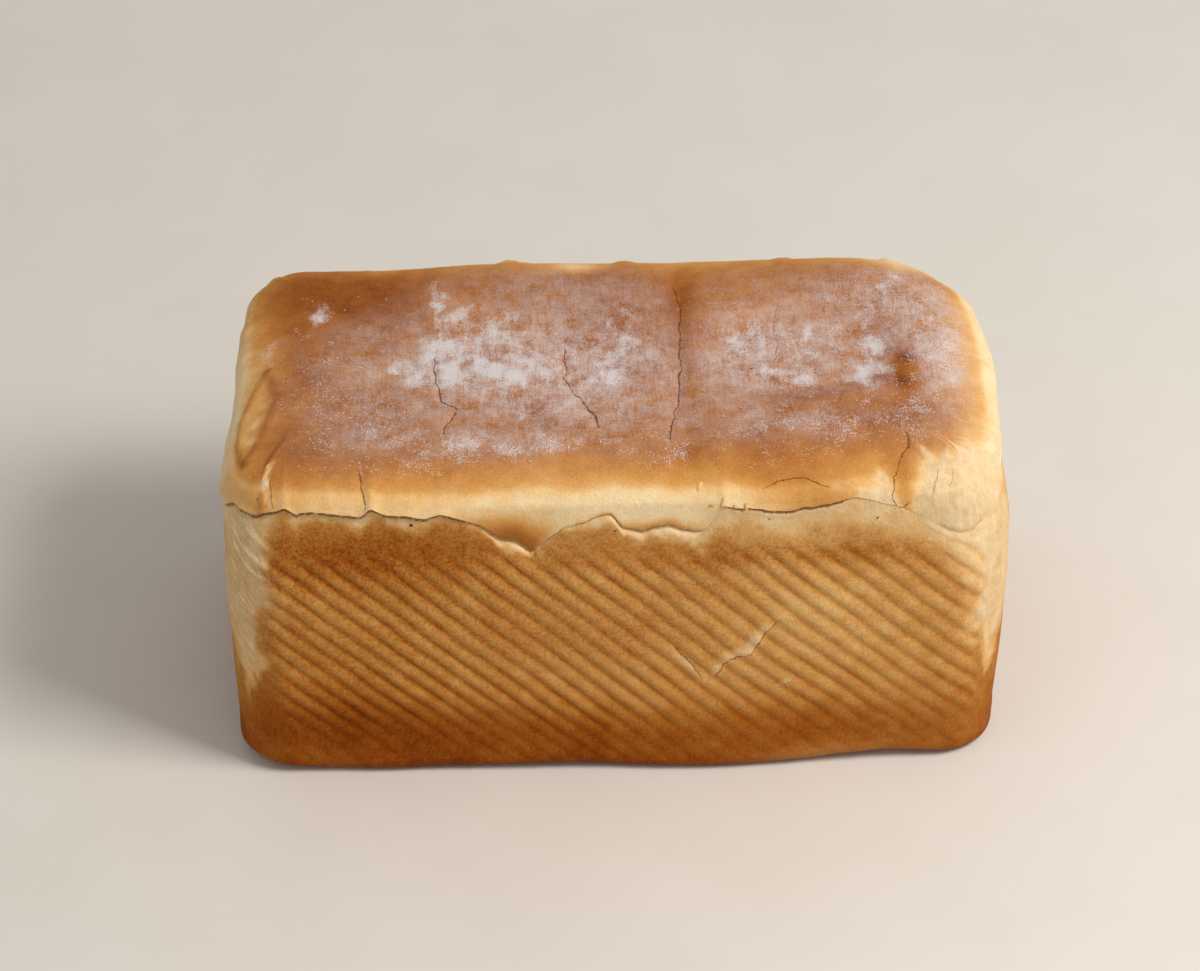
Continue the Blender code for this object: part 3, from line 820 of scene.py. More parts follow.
@dataclass(frozen=True)
class CrustFinish:
    """Baked crust: browning, torn dough, thin flour, cracks and fine grain, with painted shade and a painted
    highlight, from the piece's own fields.

    Attributes:
        wall_stops: the walls' colours from unbaked to darkest.
        crown_stops: the crown's.
        pit_stops: shades of the fine pits, multiplied in.
        dough: torn dough.
        dough_shade: darker torn dough, mixed in by its blots, and painted shade in its wrinkles and folds and
            at the left end.
        glint: painted highlight on the ridges of drawn-out strands and folds.
        flour: a film of flour.
        crack: the inside of a crack, and also painted shade in the break's gap and a painted shadow line
            along the tin-side crust's edge.
        roughness: of bare crust.
        shine: its specular level.
        bump: strength of the relief.
        relief: its height.
        mottle: broad shades of the browning.
        fleck: small dark flecks of the walls.
        rib_fade: how the ribs' shade comes and goes.
        fibre: short upright fibres.
        grain: fine grain.
        pore: finest pits.
        blot: broad shades of the dough.
        wrinkle: its wrinkles.
        fray: edges of the dough.
        strand: strands of drawn-out dough.
        strand_bend: how their lines bend.
        crack_jag: how the cracks' lines waver.
        crack_width: their width.
        crack_gap: where they break off.
        patch: edges of the clouds of flour.
        blotch: smaller gaps in them.
        streak: streaks of the film, across and along.
        flour_grain: the film's grain.
    """

    wall_stops: tuple[tuple[float, Colour], ...] = (
        (0.0, srgb(250, 228, 188)), (0.14, srgb(243, 206, 148)), (0.3, srgb(228, 175, 104)),
        (0.45, srgb(209, 150, 81)), (0.6, srgb(189, 124, 54)), (0.75, srgb(170, 97, 27)),
        (0.88, srgb(153, 75, 9)), (1.0, srgb(124, 58, 6)),
    )  # fmt: skip
    crown_stops: tuple[tuple[float, Colour], ...] = (
        (0.0, srgb(248, 224, 180)), (0.14, srgb(242, 202, 144)), (0.3, srgb(229, 172, 102)),
        (0.45, srgb(211, 147, 76)), (0.6, srgb(189, 122, 58)), (0.75, srgb(167, 100, 44)),
        (0.88, srgb(144, 80, 32)), (1.0, srgb(110, 56, 20)),
    )  # fmt: skip
    pit_stops: tuple[tuple[float, Colour], ...] = ((0.3, (0.66, 0.6, 0.5, 1)), (0.66, (1, 1, 1, 1)))
    dough: Colour = srgb(240, 217, 182)
    dough_shade: Colour = srgb(207, 170, 118)
    glint: Colour = srgb(255, 238, 190)
    flour: Colour = srgb(217, 210, 211)
    crack: Colour = srgb(112, 62, 26)
    roughness: float = 0.65
    shine: float = 0.05
    bump: float = 0.6
    relief: float = 0.4 * MM
    mottle: Blobs = Blobs(7.0, 4.0, 0.6)
    fleck: Blobs = Blobs(1.25, 5.0, 0.72)
    rib_fade: Blobs = Blobs(9.0, 3.0, 0.6)
    fibre: Blobs = Blobs(0.9, 3.0, 0.7)
    grain: Blobs = Blobs(0.7, 3.0, 0.75)
    pore: Blobs = Blobs(0.42, 2.0, 0.8)
    blot: Blobs = Blobs(4.5, 4.0, 0.62)
    wrinkle: Blobs = Blobs(2.4, 4.0, 0.65)
    fray: Blobs = Blobs(2.6, 6.0, 0.68)
    strand: Blobs = Blobs(1.0, 5.0, 0.68)
    strand_bend: Blobs = Blobs(14.0)
    crack_jag: Blobs = Blobs(1.3, 2.0, 0.6)
    crack_width: Blobs = Blobs(3.0, 1.0)
    crack_gap: Blobs = Blobs(6.0, 3.0, 0.6)
    patch: Blobs = Blobs(11.0, 5.0, 0.62)
    blotch: Blobs = Blobs(4.5, 5.0, 0.7)
    streak: Blobs = Blobs(1.0, 3.0, 0.7)
    flour_grain: Blobs = Blobs(0.55, 3.0, 0.75)

    def material(self) -> Any:
        """Builds the material: the browned crust, and over it dough, flour and cracks."""
        g = Graph("baked_crust")
        place = g.place_mm()
        upright = g.place_mm((1, 1, 0.3))
        mottle = g.swing(place, self.mottle)
        blot = g.swing(place, self.blot)
        fibre = g.swing(upright, self.fibre)
        wrinkle = g.swing(upright, self.wrinkle)
        grain = g.swing(place, self.grain)
        torn = g.attribute("torn")
        wall = 1 - g.attribute("top")
        colour = self.browned(g, place, mottle, fibre, grain)
        strand = self.strands(g, place) - 0.5
        left = g.step(g.axis(place, "X"), 0.0, -90.0)
        front = g.step(g.axis(place, "Y"), 20.0, -20.0)
        drawn = torn * wall * (0.22 + left * 0.9) * front
        # shade picks between dough_shade and dough: darker in the wrinkles' valleys and at the left end as
        # painted shade, and by blotchy tone
        shade = 0.5 - left * wall * 0.22 + strand * drawn + fibre * 1.1 + blot * 1.4 + wrinkle * 1.2
        bare = g.mix(shade, self.dough_shade, self.dough)
        ragged = g.step(torn + g.swing(place, self.fray) * 1.3, 0.36, 0.62)
        colour = g.mix(torn * 0.25 + ragged * torn * 0.65, colour, bare)
        # painted highlight: the ridges of the drawn-out strands and folds are lightened towards glint
        lit = g.step(g.attribute("fold") + strand * 0.5, 0.3, 0.85) * drawn
        colour = g.mix(lit * 0.7, colour, self.glint)
        cover = self.cover(g, place)
        colour = g.mix(cover, colour, self.flour)
        # the crack colour also paints shade in the break's gap and a shadow line along the tin-side crust's
        # edge
        line = self.crack_and_shade_line(g, place)
        colour = g.mix(line * 0.85, colour, self.crack)
        relief = fibre * 0.5 + grain * 0.9 + mottle * 0.5 + cover * 0.2 - line * 1.3 + strand * drawn * 0.8
        relief = relief + (blot + wrinkle * 1.6) * torn
        inputs = {"Strength": self.bump, "Distance": self.relief, "Height": relief}
        bump = g.add("ShaderNodeBump", None, inputs)
        rough = self.roughness + cover * 0.3 + grain * 0.3
        return g.finish(Base_Color=colour, Roughness=rough, Normal=bump, Specular_IOR_Level=self.shine)

    def browned(self, g: Graph, place: Link, mottle: Link, fibre: Link, grain: Link) -> Link:
        """Baked skin: its browning, with the painted shade that is added into it, and noise picked from the
        walls' ramp or the crown's, times fine pits.

        Args:
            g: the material's graph.
            place: place on the piece in millimetres.
            mottle: broad noise.
            fibre: noise of short upright fibres.
            grain: fine noise.

        Returns:
            Its colour.
        """
        bake_and_shade, top = g.attribute("bake_and_shade"), g.attribute("top")
        fleck = g.step(g.noise(place, self.fleck), 0.4, 0.66)
        high = g.step(g.axis(place, "Z"), 22.0, 60.0)
        rib = g.attribute("rib") * (0.7 + g.noise(place, self.rib_fade) * 0.6)
        level = bake_and_shade + mottle * 0.36 + fibre * 0.5 + grain * 0.5 - rib * 0.27
        level = level + (fleck - 0.3) * bake_and_shade * (1 - top) * (0.1 + high * 0.2)
        colour = g.mix(top, g.ramp(level, self.wall_stops), g.ramp(level, self.crown_stops))
        pits = g.ramp(grain + g.swing(place, self.pore) + fibre + 0.5, self.pit_stops)
        return g.mix(0.5 + g.step(bake_and_shade, 0.1, 0.4) * 0.4, colour, pits, "MULTIPLY")

    def strands(self, g: Graph, place: Link) -> Link:
        """Torn dough's strands: noise drawn out along lines that run down and away over the front corners.

        Args:
            g: the material's graph.
            place: place on the piece in millimetres.

        Returns:
            One on a strand, zero between.
        """
        run = g.axis(place, "X") - g.axis(place, "Y")
        bend = g.swing(place, self.strand_bend) * 9.0
        drawn = (g.axis(place, "Z") + run * 0.8 + bend) * 0.75
        lines = g.add("ShaderNodeCombineXYZ", None, {0: drawn, 1: run * 0.11})
        return g.step(g.noise(lines, self.strand), 0.34, 0.64)

    def crack_and_shade_line(self, g: Graph, place: Link) -> Link:
        """The cracks, the painted shade of the break's gap and the painted shadow line along the tin-side
        crust's edge: dark where the distance from their line, jagged, is under a width that noise changes.

        Args:
            g: the material's graph.
            place: place on the piece in millimetres.

        Returns:
            One in a deep crack and in the darkest painted shade, zero off them.
        """
        jagged = g.noise(place, self.crack_jag) * 1.3 - 0.65
        width = g.noise(place, self.crack_width) * 0.56
        depth = g.attribute("crack_and_shade_depth")
        line = 1 - g.step(abs(g.attribute("crack_and_shade_side") + jagged) / width, 0.3, 1.0)
        return line * depth * g.step(depth + g.swing(place, self.crack_gap) * 1.3, 0.05, 0.4)

    def cover(self, g: Graph, place: Link) -> Link:
        """How much flour hides the crust: clouds, crossed streaks as a cloth leaves them, and grains.

        Args:
            g: the material's graph.
            place: place on the piece in millimetres.

        Returns:
            From 0 for none to 0.9 for the thickest.
        """
        cloud = g.attribute("flour")
        along = g.swing(g.place_mm((0.16, 1, 1)), self.streak)
        across = g.swing(g.place_mm((1, 0.14, 1)), self.streak)
        rough = g.swing(place, self.patch) * 1.6 + g.swing(place, self.blotch) * 1.6
        rough = rough + along * 0.35 + across * 0.95 + g.swing(place, self.flour_grain) * 2.1
        solid = g.step(cloud * 1.5 + rough, 0.1, 1.6) * g.step(cloud, 0.02, 0.3)
        haze = g.math("MULTIPLY", g.attribute("film"), 0.5 + rough * 0.9, clamp=True)
        return g.math("MAXIMUM", solid * 0.9, haze * 0.9)


@dataclass(frozen=True)
class FlourFinish:
    """Dry flour in grains and clumps: pale and matt."""

    colour: Colour = srgb(236, 228, 228)
    shade: Colour = srgb(216, 203, 200)
    tint: Blobs = Blobs(1.2)

    def material(self) -> Any:
        """Builds the material."""
        g = Graph("dry_flour")
        colour = g.mix(g.step(g.noise(g.place_mm(), self.tint), 0.35, 0.65), self.shade, self.colour)
        return g.finish(Base_Color=colour, Roughness=0.95)


@dataclass(frozen=True)
class CrumbFinish:
    """Crumbs and flakes of crust, from straw-coloured to charred, by their own field."""

    stops: tuple[tuple[float, Colour], ...] = (
        (0.0, srgb(240, 206, 146)), (0.4, srgb(206, 140, 66)), (0.7, srgb(130, 74, 28)),
        (1.0, srgb(34, 22, 16)),
    )  # fmt: skip
    speckle: Blobs = Blobs(0.5, 3.0)

    def material(self) -> Any:
        """Builds the material."""
        g = Graph("toasted_crumb")
        toast = g.attribute("toast") + g.swing(g.place_mm(), self.speckle) * 0.5
        return g.finish(Base_Color=g.ramp(toast, self.stops), Roughness=0.8)


@dataclass(frozen=True)
class FloorFinish:
    """A plain pale matt floor."""

    colour: Colour = srgb(222, 216, 208)
    shade: Colour = srgb(219, 213, 204)
    tint: Blobs = Blobs(60.0, 3.0)

    def material(self) -> Any:
        """Builds the material."""
        g = Graph("pale_floor")
        colour = g.mix(g.step(g.noise(g.place_mm(), self.tint), 0.3, 0.7), self.shade, self.colour)
        return g.finish(Base_Color=colour, Roughness=0.85)


def put_mesh(
    name: str, points: Array, faces: Sequence[Sequence[int]], material: Any, smooth: bool = True
) -> Any:
    """Makes an object at the origin from points and faces.

    Args:
        name: the piece's name.
        points: rows of coordinates.
        faces: numbers of each face's points, anticlockwise from outside.
        material: its finish.
        smooth: whether its faces are shaded as one curved surface.

    Returns:
        The object, linked to the scene.
    """
    mesh = bpy.data.meshes.new(name)
    mesh.from_pydata(points, [], faces)
    mesh.materials.append(material)
    if smooth:
        mesh.shade_smooth()
    piece = bpy.data.objects.new(name, mesh)
    bpy.context.scene.collection.objects.link(piece)
    return piece


def put_attribute(piece: Any, name: str, values: Array) -> None:
    """Stores one value for each of a piece's points."""
    data = piece.data.attributes.new(name, "FLOAT", "POINT")
    data.data.foreach_set("value", values.astype(np.float32))


@dataclass(frozen=True)
class Trace:
    """A crack or a fold drawn as a line of points in millimetres, with a depth or height from 0 to 1."""

    points_mm: tuple[tuple[float, float], ...]
    depth: float = 1.0

    def measure(self, first: Array, second: Array) -> tuple[Array, Array]:
        """Signed distance from the line, and the share of the way along it.

        Args:
            first: first coordinate of each place, in metres.
            second: second coordinate.

        Returns:
            Distance in millimetres, negative on one side, and the share from 0 at its start to 1 at its end.
        """
        knots = np.array(self.points_mm)
        places = np.column_stack([first, second]) / MM
        run = np.concatenate([[0], np.cumsum(np.hypot(*np.diff(knots, axis=0).T))])
        best = np.full(len(places), np.inf)
        signed, share = best.copy(), np.zeros(len(places))
        for start, end, before, after in zip(knots[:-1], knots[1:], run[:-1], run[1:]):
            way = end - start
            part = np.clip((places - start) @ way / (way @ way), 0, 1)
            gap = places - start - part[:, None] * way
            distance = np.hypot(*gap.T)
            nearer = distance < best
            side = np.sign(way[0] * gap[:, 1] - way[1] * gap[:, 0])
            best = np.where(nearer, distance, best)
            signed = np.where(nearer, distance * np.where(side == 0, 1, side), signed)
            share = np.where(nearer, (before + part * (after - before)) / run[-1], share)
        return signed, share


@dataclass(frozen=True)
class Patch:
    """An oval patch of one of the skin's fields: its middle, its two half sizes and its strength."""

    first_mm: float
    second_mm: float
    half_first_mm: float
    half_second_mm: float
    amount: float

    def over(self, first: Array, second: Array) -> Array:
        """The patch's strength at each place: amount times e to the power of minus the squared distance."""
        away_first = (first / MM - self.first_mm) / self.half_first_mm
        away_second = (second / MM - self.second_mm) / self.half_second_mm
        return self.amount * np.exp(-(away_first**2) - away_second**2)


def painted(patches: Sequence[Patch], first: Array, second: Array) -> Array:
    """The strengths of some patches, added up at each place."""
    return sum(patch.over(first, second) for patch in patches)


@dataclass
class Skin:
    """The loaf's surface at places of the net.

    Attributes:
        form: the loaf's form.
        x: place on the net, along the loaf.
        y: place on the net, across it.
        band: height of the place on the unrolled wall and shoulder.
        on_wall: true on the walls and the shoulder, false on the crown's own grid.
        cracks: the crown's cracks, as places in plan.
        wall_cracks: cracks of the walls and the shoulder, and a painted shadow line along the ragged edge of
            the tin-side crust, each point a way round and a band.
        folds: small ridges of stretched dough, given in the same way.
        place: way round the net.
        unrolled: the same, negative on the left side.
        along: way along the side that a place is on.
        side: that side's length.
        edges: the break there.
        ridge: the ribs' ridges.
        shown: how strongly the ribs show.
        over: share of the way up over the shoulder.
        plan_x: x before the form is settled.
        plan_y: y before that.
        height: z before that.
        crack_and_shade_side: signed distance in millimetres to the nearest of the cracks, the painted shadow
            line and the break's gap with its painted shade.
        crack_and_shade_depth: how dark that line is, from 0 to 1: by a crack's depth, and by the strength of
            the painted shade in the gap.
        fold: how high the folds are there, from 0 to 1.
        points: the finished points.
    """

    form: TinForm
    x: Array
    y: Array
    band: Array
    on_wall: NDArray[np.bool_]
    cracks: tuple[Trace, ...] = ()
    wall_cracks: tuple[Trace, ...] = ()
    folds: tuple[Trace, ...] = ()
    place: Array = field(init=False)
    unrolled: Array = field(init=False)
    along: Array = field(init=False)
    side: Array = field(init=False)
    edges: dict[str, Array] = field(init=False)
    ridge: Array = field(init=False)
    shown: Array = field(init=False)
    over: Array = field(init=False)
    plan_x: Array = field(init=False)
    plan_y: Array = field(init=False)
    height: Array = field(init=False)
    crack_and_shade_side: Array = field(init=False)
    crack_and_shade_depth: Array = field(init=False)
    fold: Array = field(init=False)
    points: Array = field(init=False)

    def __post_init__(self) -> None:
        """Works out the surface from the base up."""
        form = self.form
        self.place = form.place(self.x, self.y)
        self.along, self.side = form.side(self.place)
        self.unrolled = form.unrolled(self.place)
        self.edges = form.break_edges(self.place)
        height, inset = self.wall()
        height, inset = self.torn_edges(height, inset)
        share = np.clip((self.band - form.break_height - form.roll) / form.shoulder_inset, 0, 1)
        turn = share * math.pi / 2
        self.fold = np.zeros(len(self.x))
        for trace in self.folds:
            signed, _ = trace.measure(self.unrolled, self.band)
            self.fold = self.fold + trace.depth * hump(signed, 0, form.fold_reach_mm)
        self.fold = self.fold * self.on_wall * (1 - eased(form.net_top - 5 * MM, form.net_top, self.band))
        inset = inset - self.fold * form.fold_out_mm * MM
        drawn_in = (1 - form.shoulder_lean) * (1 - np.cos(turn)) + form.shoulder_lean * share
        inset = np.where(self.on_wall, inset + (form.shoulder_inset - inset) * drawn_in, form.shoulder_inset)
        self.plan_x, self.plan_y = form.draw_in(self.x, self.y, inset)
        self.over = np.where(self.on_wall, np.sin(turn), 1)
        self.measure_cracks()
        groove = self.crack_and_shade_depth * hump(self.crack_and_shade_side, 0, form.groove_reach_mm) * form.groove_depth_mm * MM
        groove = groove * (self.band > form.net_top - 24 * MM)
        crown = form.crown(self.plan_x, self.plan_y) - groove + self.fold * form.fold_up_mm * MM
        self.height = height + (crown - height) * self.over
        self.points = form.settle(self.plan_x, self.plan_y, self.height)

    def wall(self) -> tuple[Array, Array]:
        """The walls: a quarter circle at the base, then a taper, a swell and the ribs.

        Returns:
            Their height, and how far they lie in from the tin's outline.
        """
        form = self.form
        flat = np.clip(-self.band / form.foot_reach, 0, 1)
        turn = np.clip(self.band / form.base_radius, 0, 1) * math.pi / 2
        height = np.where(self.band < form.base_radius, form.base_radius * (1 - np.cos(turn)), self.band)
        height = np.minimum(height, form.break_height)
        share = height / form.break_height
        inset = form.base_radius * (1 - np.sin(turn)) + form.base_taper * (1 - share)
        inset = inset + flat * form.foot_reach - form.waist_swell * np.sin(math.pi * share**1.5)
        bow = form.side_bow * np.where(self.side > form.width, 1, 0.4)
        inset = inset - bow * np.sin(math.pi * self.along / self.side)
        inset = inset - form.along_foot(self.place, self.band, form.foot_bulges_mm) * (1 - flat)
        shift = self.edges["top"] - form.break_height
        height = height + shift * eased(form.break_height * 0.6, form.break_height, height)
        self.ridge, self.shown = form.ribs(self.place, height)
        inset = inset - form.rib_depth * (self.ridge - 0.55) * self.shown
        spot = np.column_stack([self.place, height])
        inset = inset - 0.3 * MM * Noise(41).at(spot, 16 * MM) - 0.12 * MM * Noise(42).at(spot, 5 * MM)
        lift = form.along_foot(self.place, self.band, form.base_lifts_mm) * (1 - flat) ** 2
        return height + lift, inset

    def torn_edges(self, height: Array, inset: Array) -> tuple[Array, Array]:
        """Adds the break: the rim swells and turns in sharply, or hollows under a lip that hangs over it.

        Args:
            height: height of the walls.
            inset: how far they lie in from the tin's outline.

        Returns:
            The two, with the break in them.
        """
        form = self.form
        edges = self.edges
        roll = np.clip((self.band - form.break_height + form.roll) / form.roll, 0, 1)
        curled = np.clip(edges["rim"] / MM, 0, 1)
        hollow = curled * roll**9 + (1 - curled) * roll**2.2
        inset = inset - edges["rim"] * eased(0.2, 0.8, roll) * (1 - roll**9) + edges["crevice"] * hollow
        rise = np.clip((self.band - form.break_height) / form.roll, 0, 1)
        shoulder = np.maximum(edges["level"] + 2.5 * MM, edges["top"] + 1.6 * MM)
        shoulder = np.maximum(shoulder, form.shoulder_start)
        inset = inset - (edges["crevice"] + edges["lip"]) * eased(0, 0.22, rise)
        inset = inset + (0.6 * edges["lip"] + form.shoulder_lean * form.roll / 2) * rise**2
        droop = 0.4 * MM * np.sin(math.pi * rise) * (edges["lip"] > 0)
        return height + (shoulder - edges["top"]) * rise**1.3 - droop, inset

    def measure_cracks(self) -> None:
        """Signed distance in millimetres to the nearest crack, jagged by noise, and its depth near it; then
        the break's gap, whose shade is painted as a crack.
        """
        self.crack_and_shade_side, self.crack_and_shade_depth = np.full(len(self.x), FAR_MM), np.zeros(len(self.x))
        views = (
            (self.cracks, self.plan_x, self.plan_y, 0.7),
            (self.wall_cracks, np.where(self.on_wall, self.unrolled, FAR_MM * MM), self.band, 0.45),
        )
        for traces, first, second, jag in views:
            spot = np.column_stack([first, second])
            shift = Noise(61).at(spot, 3.5 * MM) * jag * MM + Noise(62).at(spot, 1.6 * MM) * 0.4 * jag * MM
            for trace in traces:
                signed, share = trace.measure(first + shift, second)
                near = eased(5, 3, np.abs(signed))
                here = trace.depth * eased(0, 0.05, share) * eased(1, 0.95, share) * near
                nearer = np.abs(signed) < np.abs(self.crack_and_shade_side)
                self.crack_and_shade_side = np.where(nearer, signed, self.crack_and_shade_side)
                self.crack_and_shade_depth = np.where(nearer, here, self.crack_and_shade_depth)
        self.paint_gap_shade()

    def paint_gap_shade(self) -> None:
        """Paints shade in the break's gap as a dark crack line, from its bottom down to where the lip no
        longer hides it.
        """
        lip, crevice = self.edges["lip"], self.edges["crevice"]
        hidden = ((lip + crevice) * 0.6 - self.edges["rim"] * 0.5) * eased(0, 0.8 * MM, lip)
        below = self.form.break_height - hidden - self.band
        above = self.band - self.form.break_height - 0.3 * MM
        away = np.maximum(np.maximum(below, above), 0) / MM
        nearer = (away < np.abs(self.crack_and_shade_side)) & self.on_wall & (away < 4)
        self.crack_and_shade_side = np.where(nearer, away, self.crack_and_shade_side)
        depth = (0.4 + 0.4 * eased(0, 0.8 * MM, lip)) * eased(0.3 * MM, 1.3 * MM, crevice)
        self.crack_and_shade_depth = np.where(nearer, depth, self.crack_and_shade_depth)


SHORT_TEAR = ((136.5, 53), (139.4, 48), (142.7, 44.6), (145.8, 38.3))
LONG_TEAR = ((149.8, 38.1), (154.3, 45.8), (161.4, 47.3), (163.3, 51.5), (165.3, 56.9), (169.1, 61.7))
SIDE_NICK = ((168.8, 32.5), (174.7, 37.3))


@dataclass
class Crust:
    """The loaf's skin: one closed surface with its browning, flour and cracks, and some painted shade and
    highlight, as fields on its points.

    Attributes:
        form: the loaf's form.
        finish: its look.
        cracks: cracks of the crown, in plan.
        wall_cracks: cracks of the walls and the shoulder, and a painted shadow line along the ragged edge of
            the tin-side crust, each point a way round and a band.
        folds: small ridges of stretched dough, given in the same way.
        peels: tears of the front whose skin has come off one side, each with the width that is bare.
        shoulder_torn: torn dough over the break, by way round and band.
        wall_torn: torn dough of the walls, given in the same way.
        front_bake_and_shade: darker and paler places of the front, by x and height: browning, and painted
            shade towards the left end.
        crown_bake: those of the crown, in plan.
        lip_bake_and_shade: those of the crown's lip, in plan: browning, and painted shade on the left end.
        gap_bake_and_shade: darker skin over the break, by way round and band: partly browner crust, partly
            painted shade in the hollow behind the rim.
        rise: browning of the crown by the share of the way over the shoulder: the shares, then the browning.
        clouds: thick flour, in plan.
        films: thin flour, in plan.
        specks: loose grains of flour, in plan.
        front_margins: width of the bare dough at the left and at the right end of the front.
        end_margin: its width on the two ends, next to the front.
        back_margin: its width round the back.
    """

    form: TinForm
    finish: CrustFinish = CrustFinish()
    cracks: tuple[Trace, ...] = (
        Trace(((-54, 10), (-55, 0), (-53, -10), (-52, -17), (-47.5, -21), (-51, -30), (-51.5, -36))),
        Trace(((-47.5, -21), (-41.5, -21)), 0.5),
        Trace(((-13.5, 9), (-13, -4), (-14, -7), (-9, -18), (-5.5, -25), (-3.5, -34))),
        Trace(((22, 40), (23.6, 28), (23, 10), (21.5, -18), (19.5, -26), (17, -42))),
        Trace(((54.3, 28), (52.4, 15), (53.6, 8.5), (52, 0)), 0.5),
    )
    wall_cracks: tuple[Trace, ...] = (
        Trace(SHORT_TEAR, 0.8),
        Trace(LONG_TEAR, 0.9),
        Trace(SIDE_NICK, 0.35),
        Trace(((152, 20.2), (156.6, 23.8), (159.7, 26.6)), 0.35),
        Trace(((41.7, 125.7), (42.5, 122), (43.2, 116), (43.5, 109)), 0.8),
        Trace(((163.5, 115.8), (167.9, 118.3), (172.4, 119.1), (177, 119.2), (184.5, 114.8)), 0.8),
        Trace(
            ((216.2, 133), (207.4, 126), (204.5, 118.7), (203.2, 109.8), (205.5, 105.3), (208.9, 110)), 0.8
        ),
        Trace(((100, 88), (99.5, 74)), 0.3),
        Trace(((10.5, 122.3), (13.4, 118.1), (15.5, 108.5)), 0.7),
        Trace(((219, 121), (216, 110.5)), 0.4),
        Trace(((226, 120.5), (221.9, 113.6)), 0.4),
        # not a crack: a painted shadow line along the ragged edge of the tin-side crust
        Trace(
            ((123, 88), (133, 83), (145, 80), (154, 88), (163, 92), (187, 89.5), (208, 92), (217, 99)), 0.3
        ),
    )
    folds: tuple[Trace, ...] = (
        Trace(((-4, 95.2), (3.6, 90.8), (9.6, 87.8), (13.4, 85.1)), 0.9),
        Trace(((-4.8, 90.6), (3, 84.9), (10.4, 82.4), (14, 80)), 0.9),
        Trace(((0, 103), (4.5, 100.3), (9.1, 96.4), (13, 91.9)), 0.8),
        Trace(((-2.4, 71.7), (2.1, 67.5), (8.3, 66.4)), 0.7),
        Trace(((-8, 84), (-1, 78), (6, 75)), 0.5),
        Trace(((-13.3, 120.9), (-26, 125.2), (-37.4, 127.4), (-44.5, 128.5), (-60, 125.2)), 0.8),
        Trace(((-60, 125.2), (-50.3, 121.9), (-38.8, 119.2), (-27.4, 118.6), (-13.3, 120.9)), 0.9),
        Trace(((-29.3, 134), (-21.9, 131.6), (-10, 128.5), (1.9, 125.1), (9.5, 118.7), (11.3, 108)), 0.8),
        Trace(((227.9, 128.3), (219.5, 121.1), (216.1, 110.5)), 0.7),
        Trace(((236.4, 126.2), (228.2, 119.5), (223.9, 110.6)), 0.8),
        Trace(((248.4, 122), (237, 117), (231.5, 109)), 0.7),
        Trace(((213.2, 104), (219.3, 103.6), (226.8, 102.3), (234.4, 99.4), (244.4, 91)), 0.25),
        Trace(((149.5, 39.5), (153.6, 47.3), (160.4, 49.2), (162, 53), (164, 58.2), (168, 63)), 0.7),
    )
    peels: tuple[tuple[Trace, float], ...] = (
        (Trace(LONG_TEAR), 4.2), (Trace(SHORT_TEAR[::-1]), 2.2), (Trace(SIDE_NICK), 1.6),
    )  # fmt: skip
    shoulder_torn: tuple[Patch, ...] = (
        Patch(230, 112, 31, 17, 1.1), Patch(201, 106, 9, 9, 0.8), Patch(207.5, 119, 3.4, 14, -1.8),
        Patch(13, 111, 5, 5, 0.44), Patch(10, 118, 5, 6, 0.46), Patch(5, 125, 5, 5, 0.38),
        Patch(-36, 123.5, 24, 3.4, 0.5), Patch(145, 113, 4, 4, 0.6),
    )  # fmt: skip
    wall_torn: tuple[Patch, ...] = (
        Patch(166, 82, 14, 3, 0.3), Patch(140, 84, 10, 3, 0.3), Patch(185, 2, 24, 4, 0.6),
    )  # fmt: skip
    # the patches round x -72 and -85 are partly painted shade, darkening the front towards its left end; the
    # rest is browning
    front_bake_and_shade: tuple[Patch, ...] = (
        Patch(-72, 90, 48, 11, 0.21), Patch(-85, 58, 45, 25, 0.1), Patch(-85, 18, 45, 18, 0.36),
        Patch(-10, 14, 50, 15, 0.28), Patch(65, 16, 45, 13, 0.24), Patch(60, 60, 40, 24, -0.14),
        Patch(55, 87, 55, 5, 0.14), Patch(0, 0, 200, 7, 0.25), Patch(108, 22, 12, 14, 0.05),
    )  # fmt: skip
    crown_bake: tuple[Patch, ...] = (
        Patch(-95, 38, 30, 22, 0.16), Patch(-112, -15, 9, 30, -0.18), Patch(24, 30, 12, 18, 0.08),
        Patch(93.5, -1, 2.8, 3.4, 0.2), Patch(90.5, -13, 2.8, 3.6, 0.24), Patch(70, -30, 26, 8, 0.08),
        Patch(110, -5, 12, 34, -0.22), Patch(112, -50, 20, 14, -0.36), Patch(-7, 52, 9, 5, -0.4),
        Patch(96, 52, 14, 9, -0.3), Patch(24, 10, 5, 30, 0.06),
    )  # fmt: skip
    # the patches at x -85 and -112 paint shade on the left end of the lip; the rest is browning
    lip_bake_and_shade: tuple[Patch, ...] = (
        Patch(-85, 0, 42, 999, 0.15), Patch(-112, -60, 10, 20, 0.22), Patch(62, -60, 20, 20, 0.36),
        Patch(-5, -60, 32, 20, -0.04), Patch(4, -42, 26, 10, 0.18),
    )  # fmt: skip
    rise: tuple[tuple[float, ...], ...] = (
        (0, 0.35, 0.5, 0.7, 0.87, 0.97), (0.03, 0.14, 0.33, 0.46, 0.6, 0.7),
    )  # fmt: skip
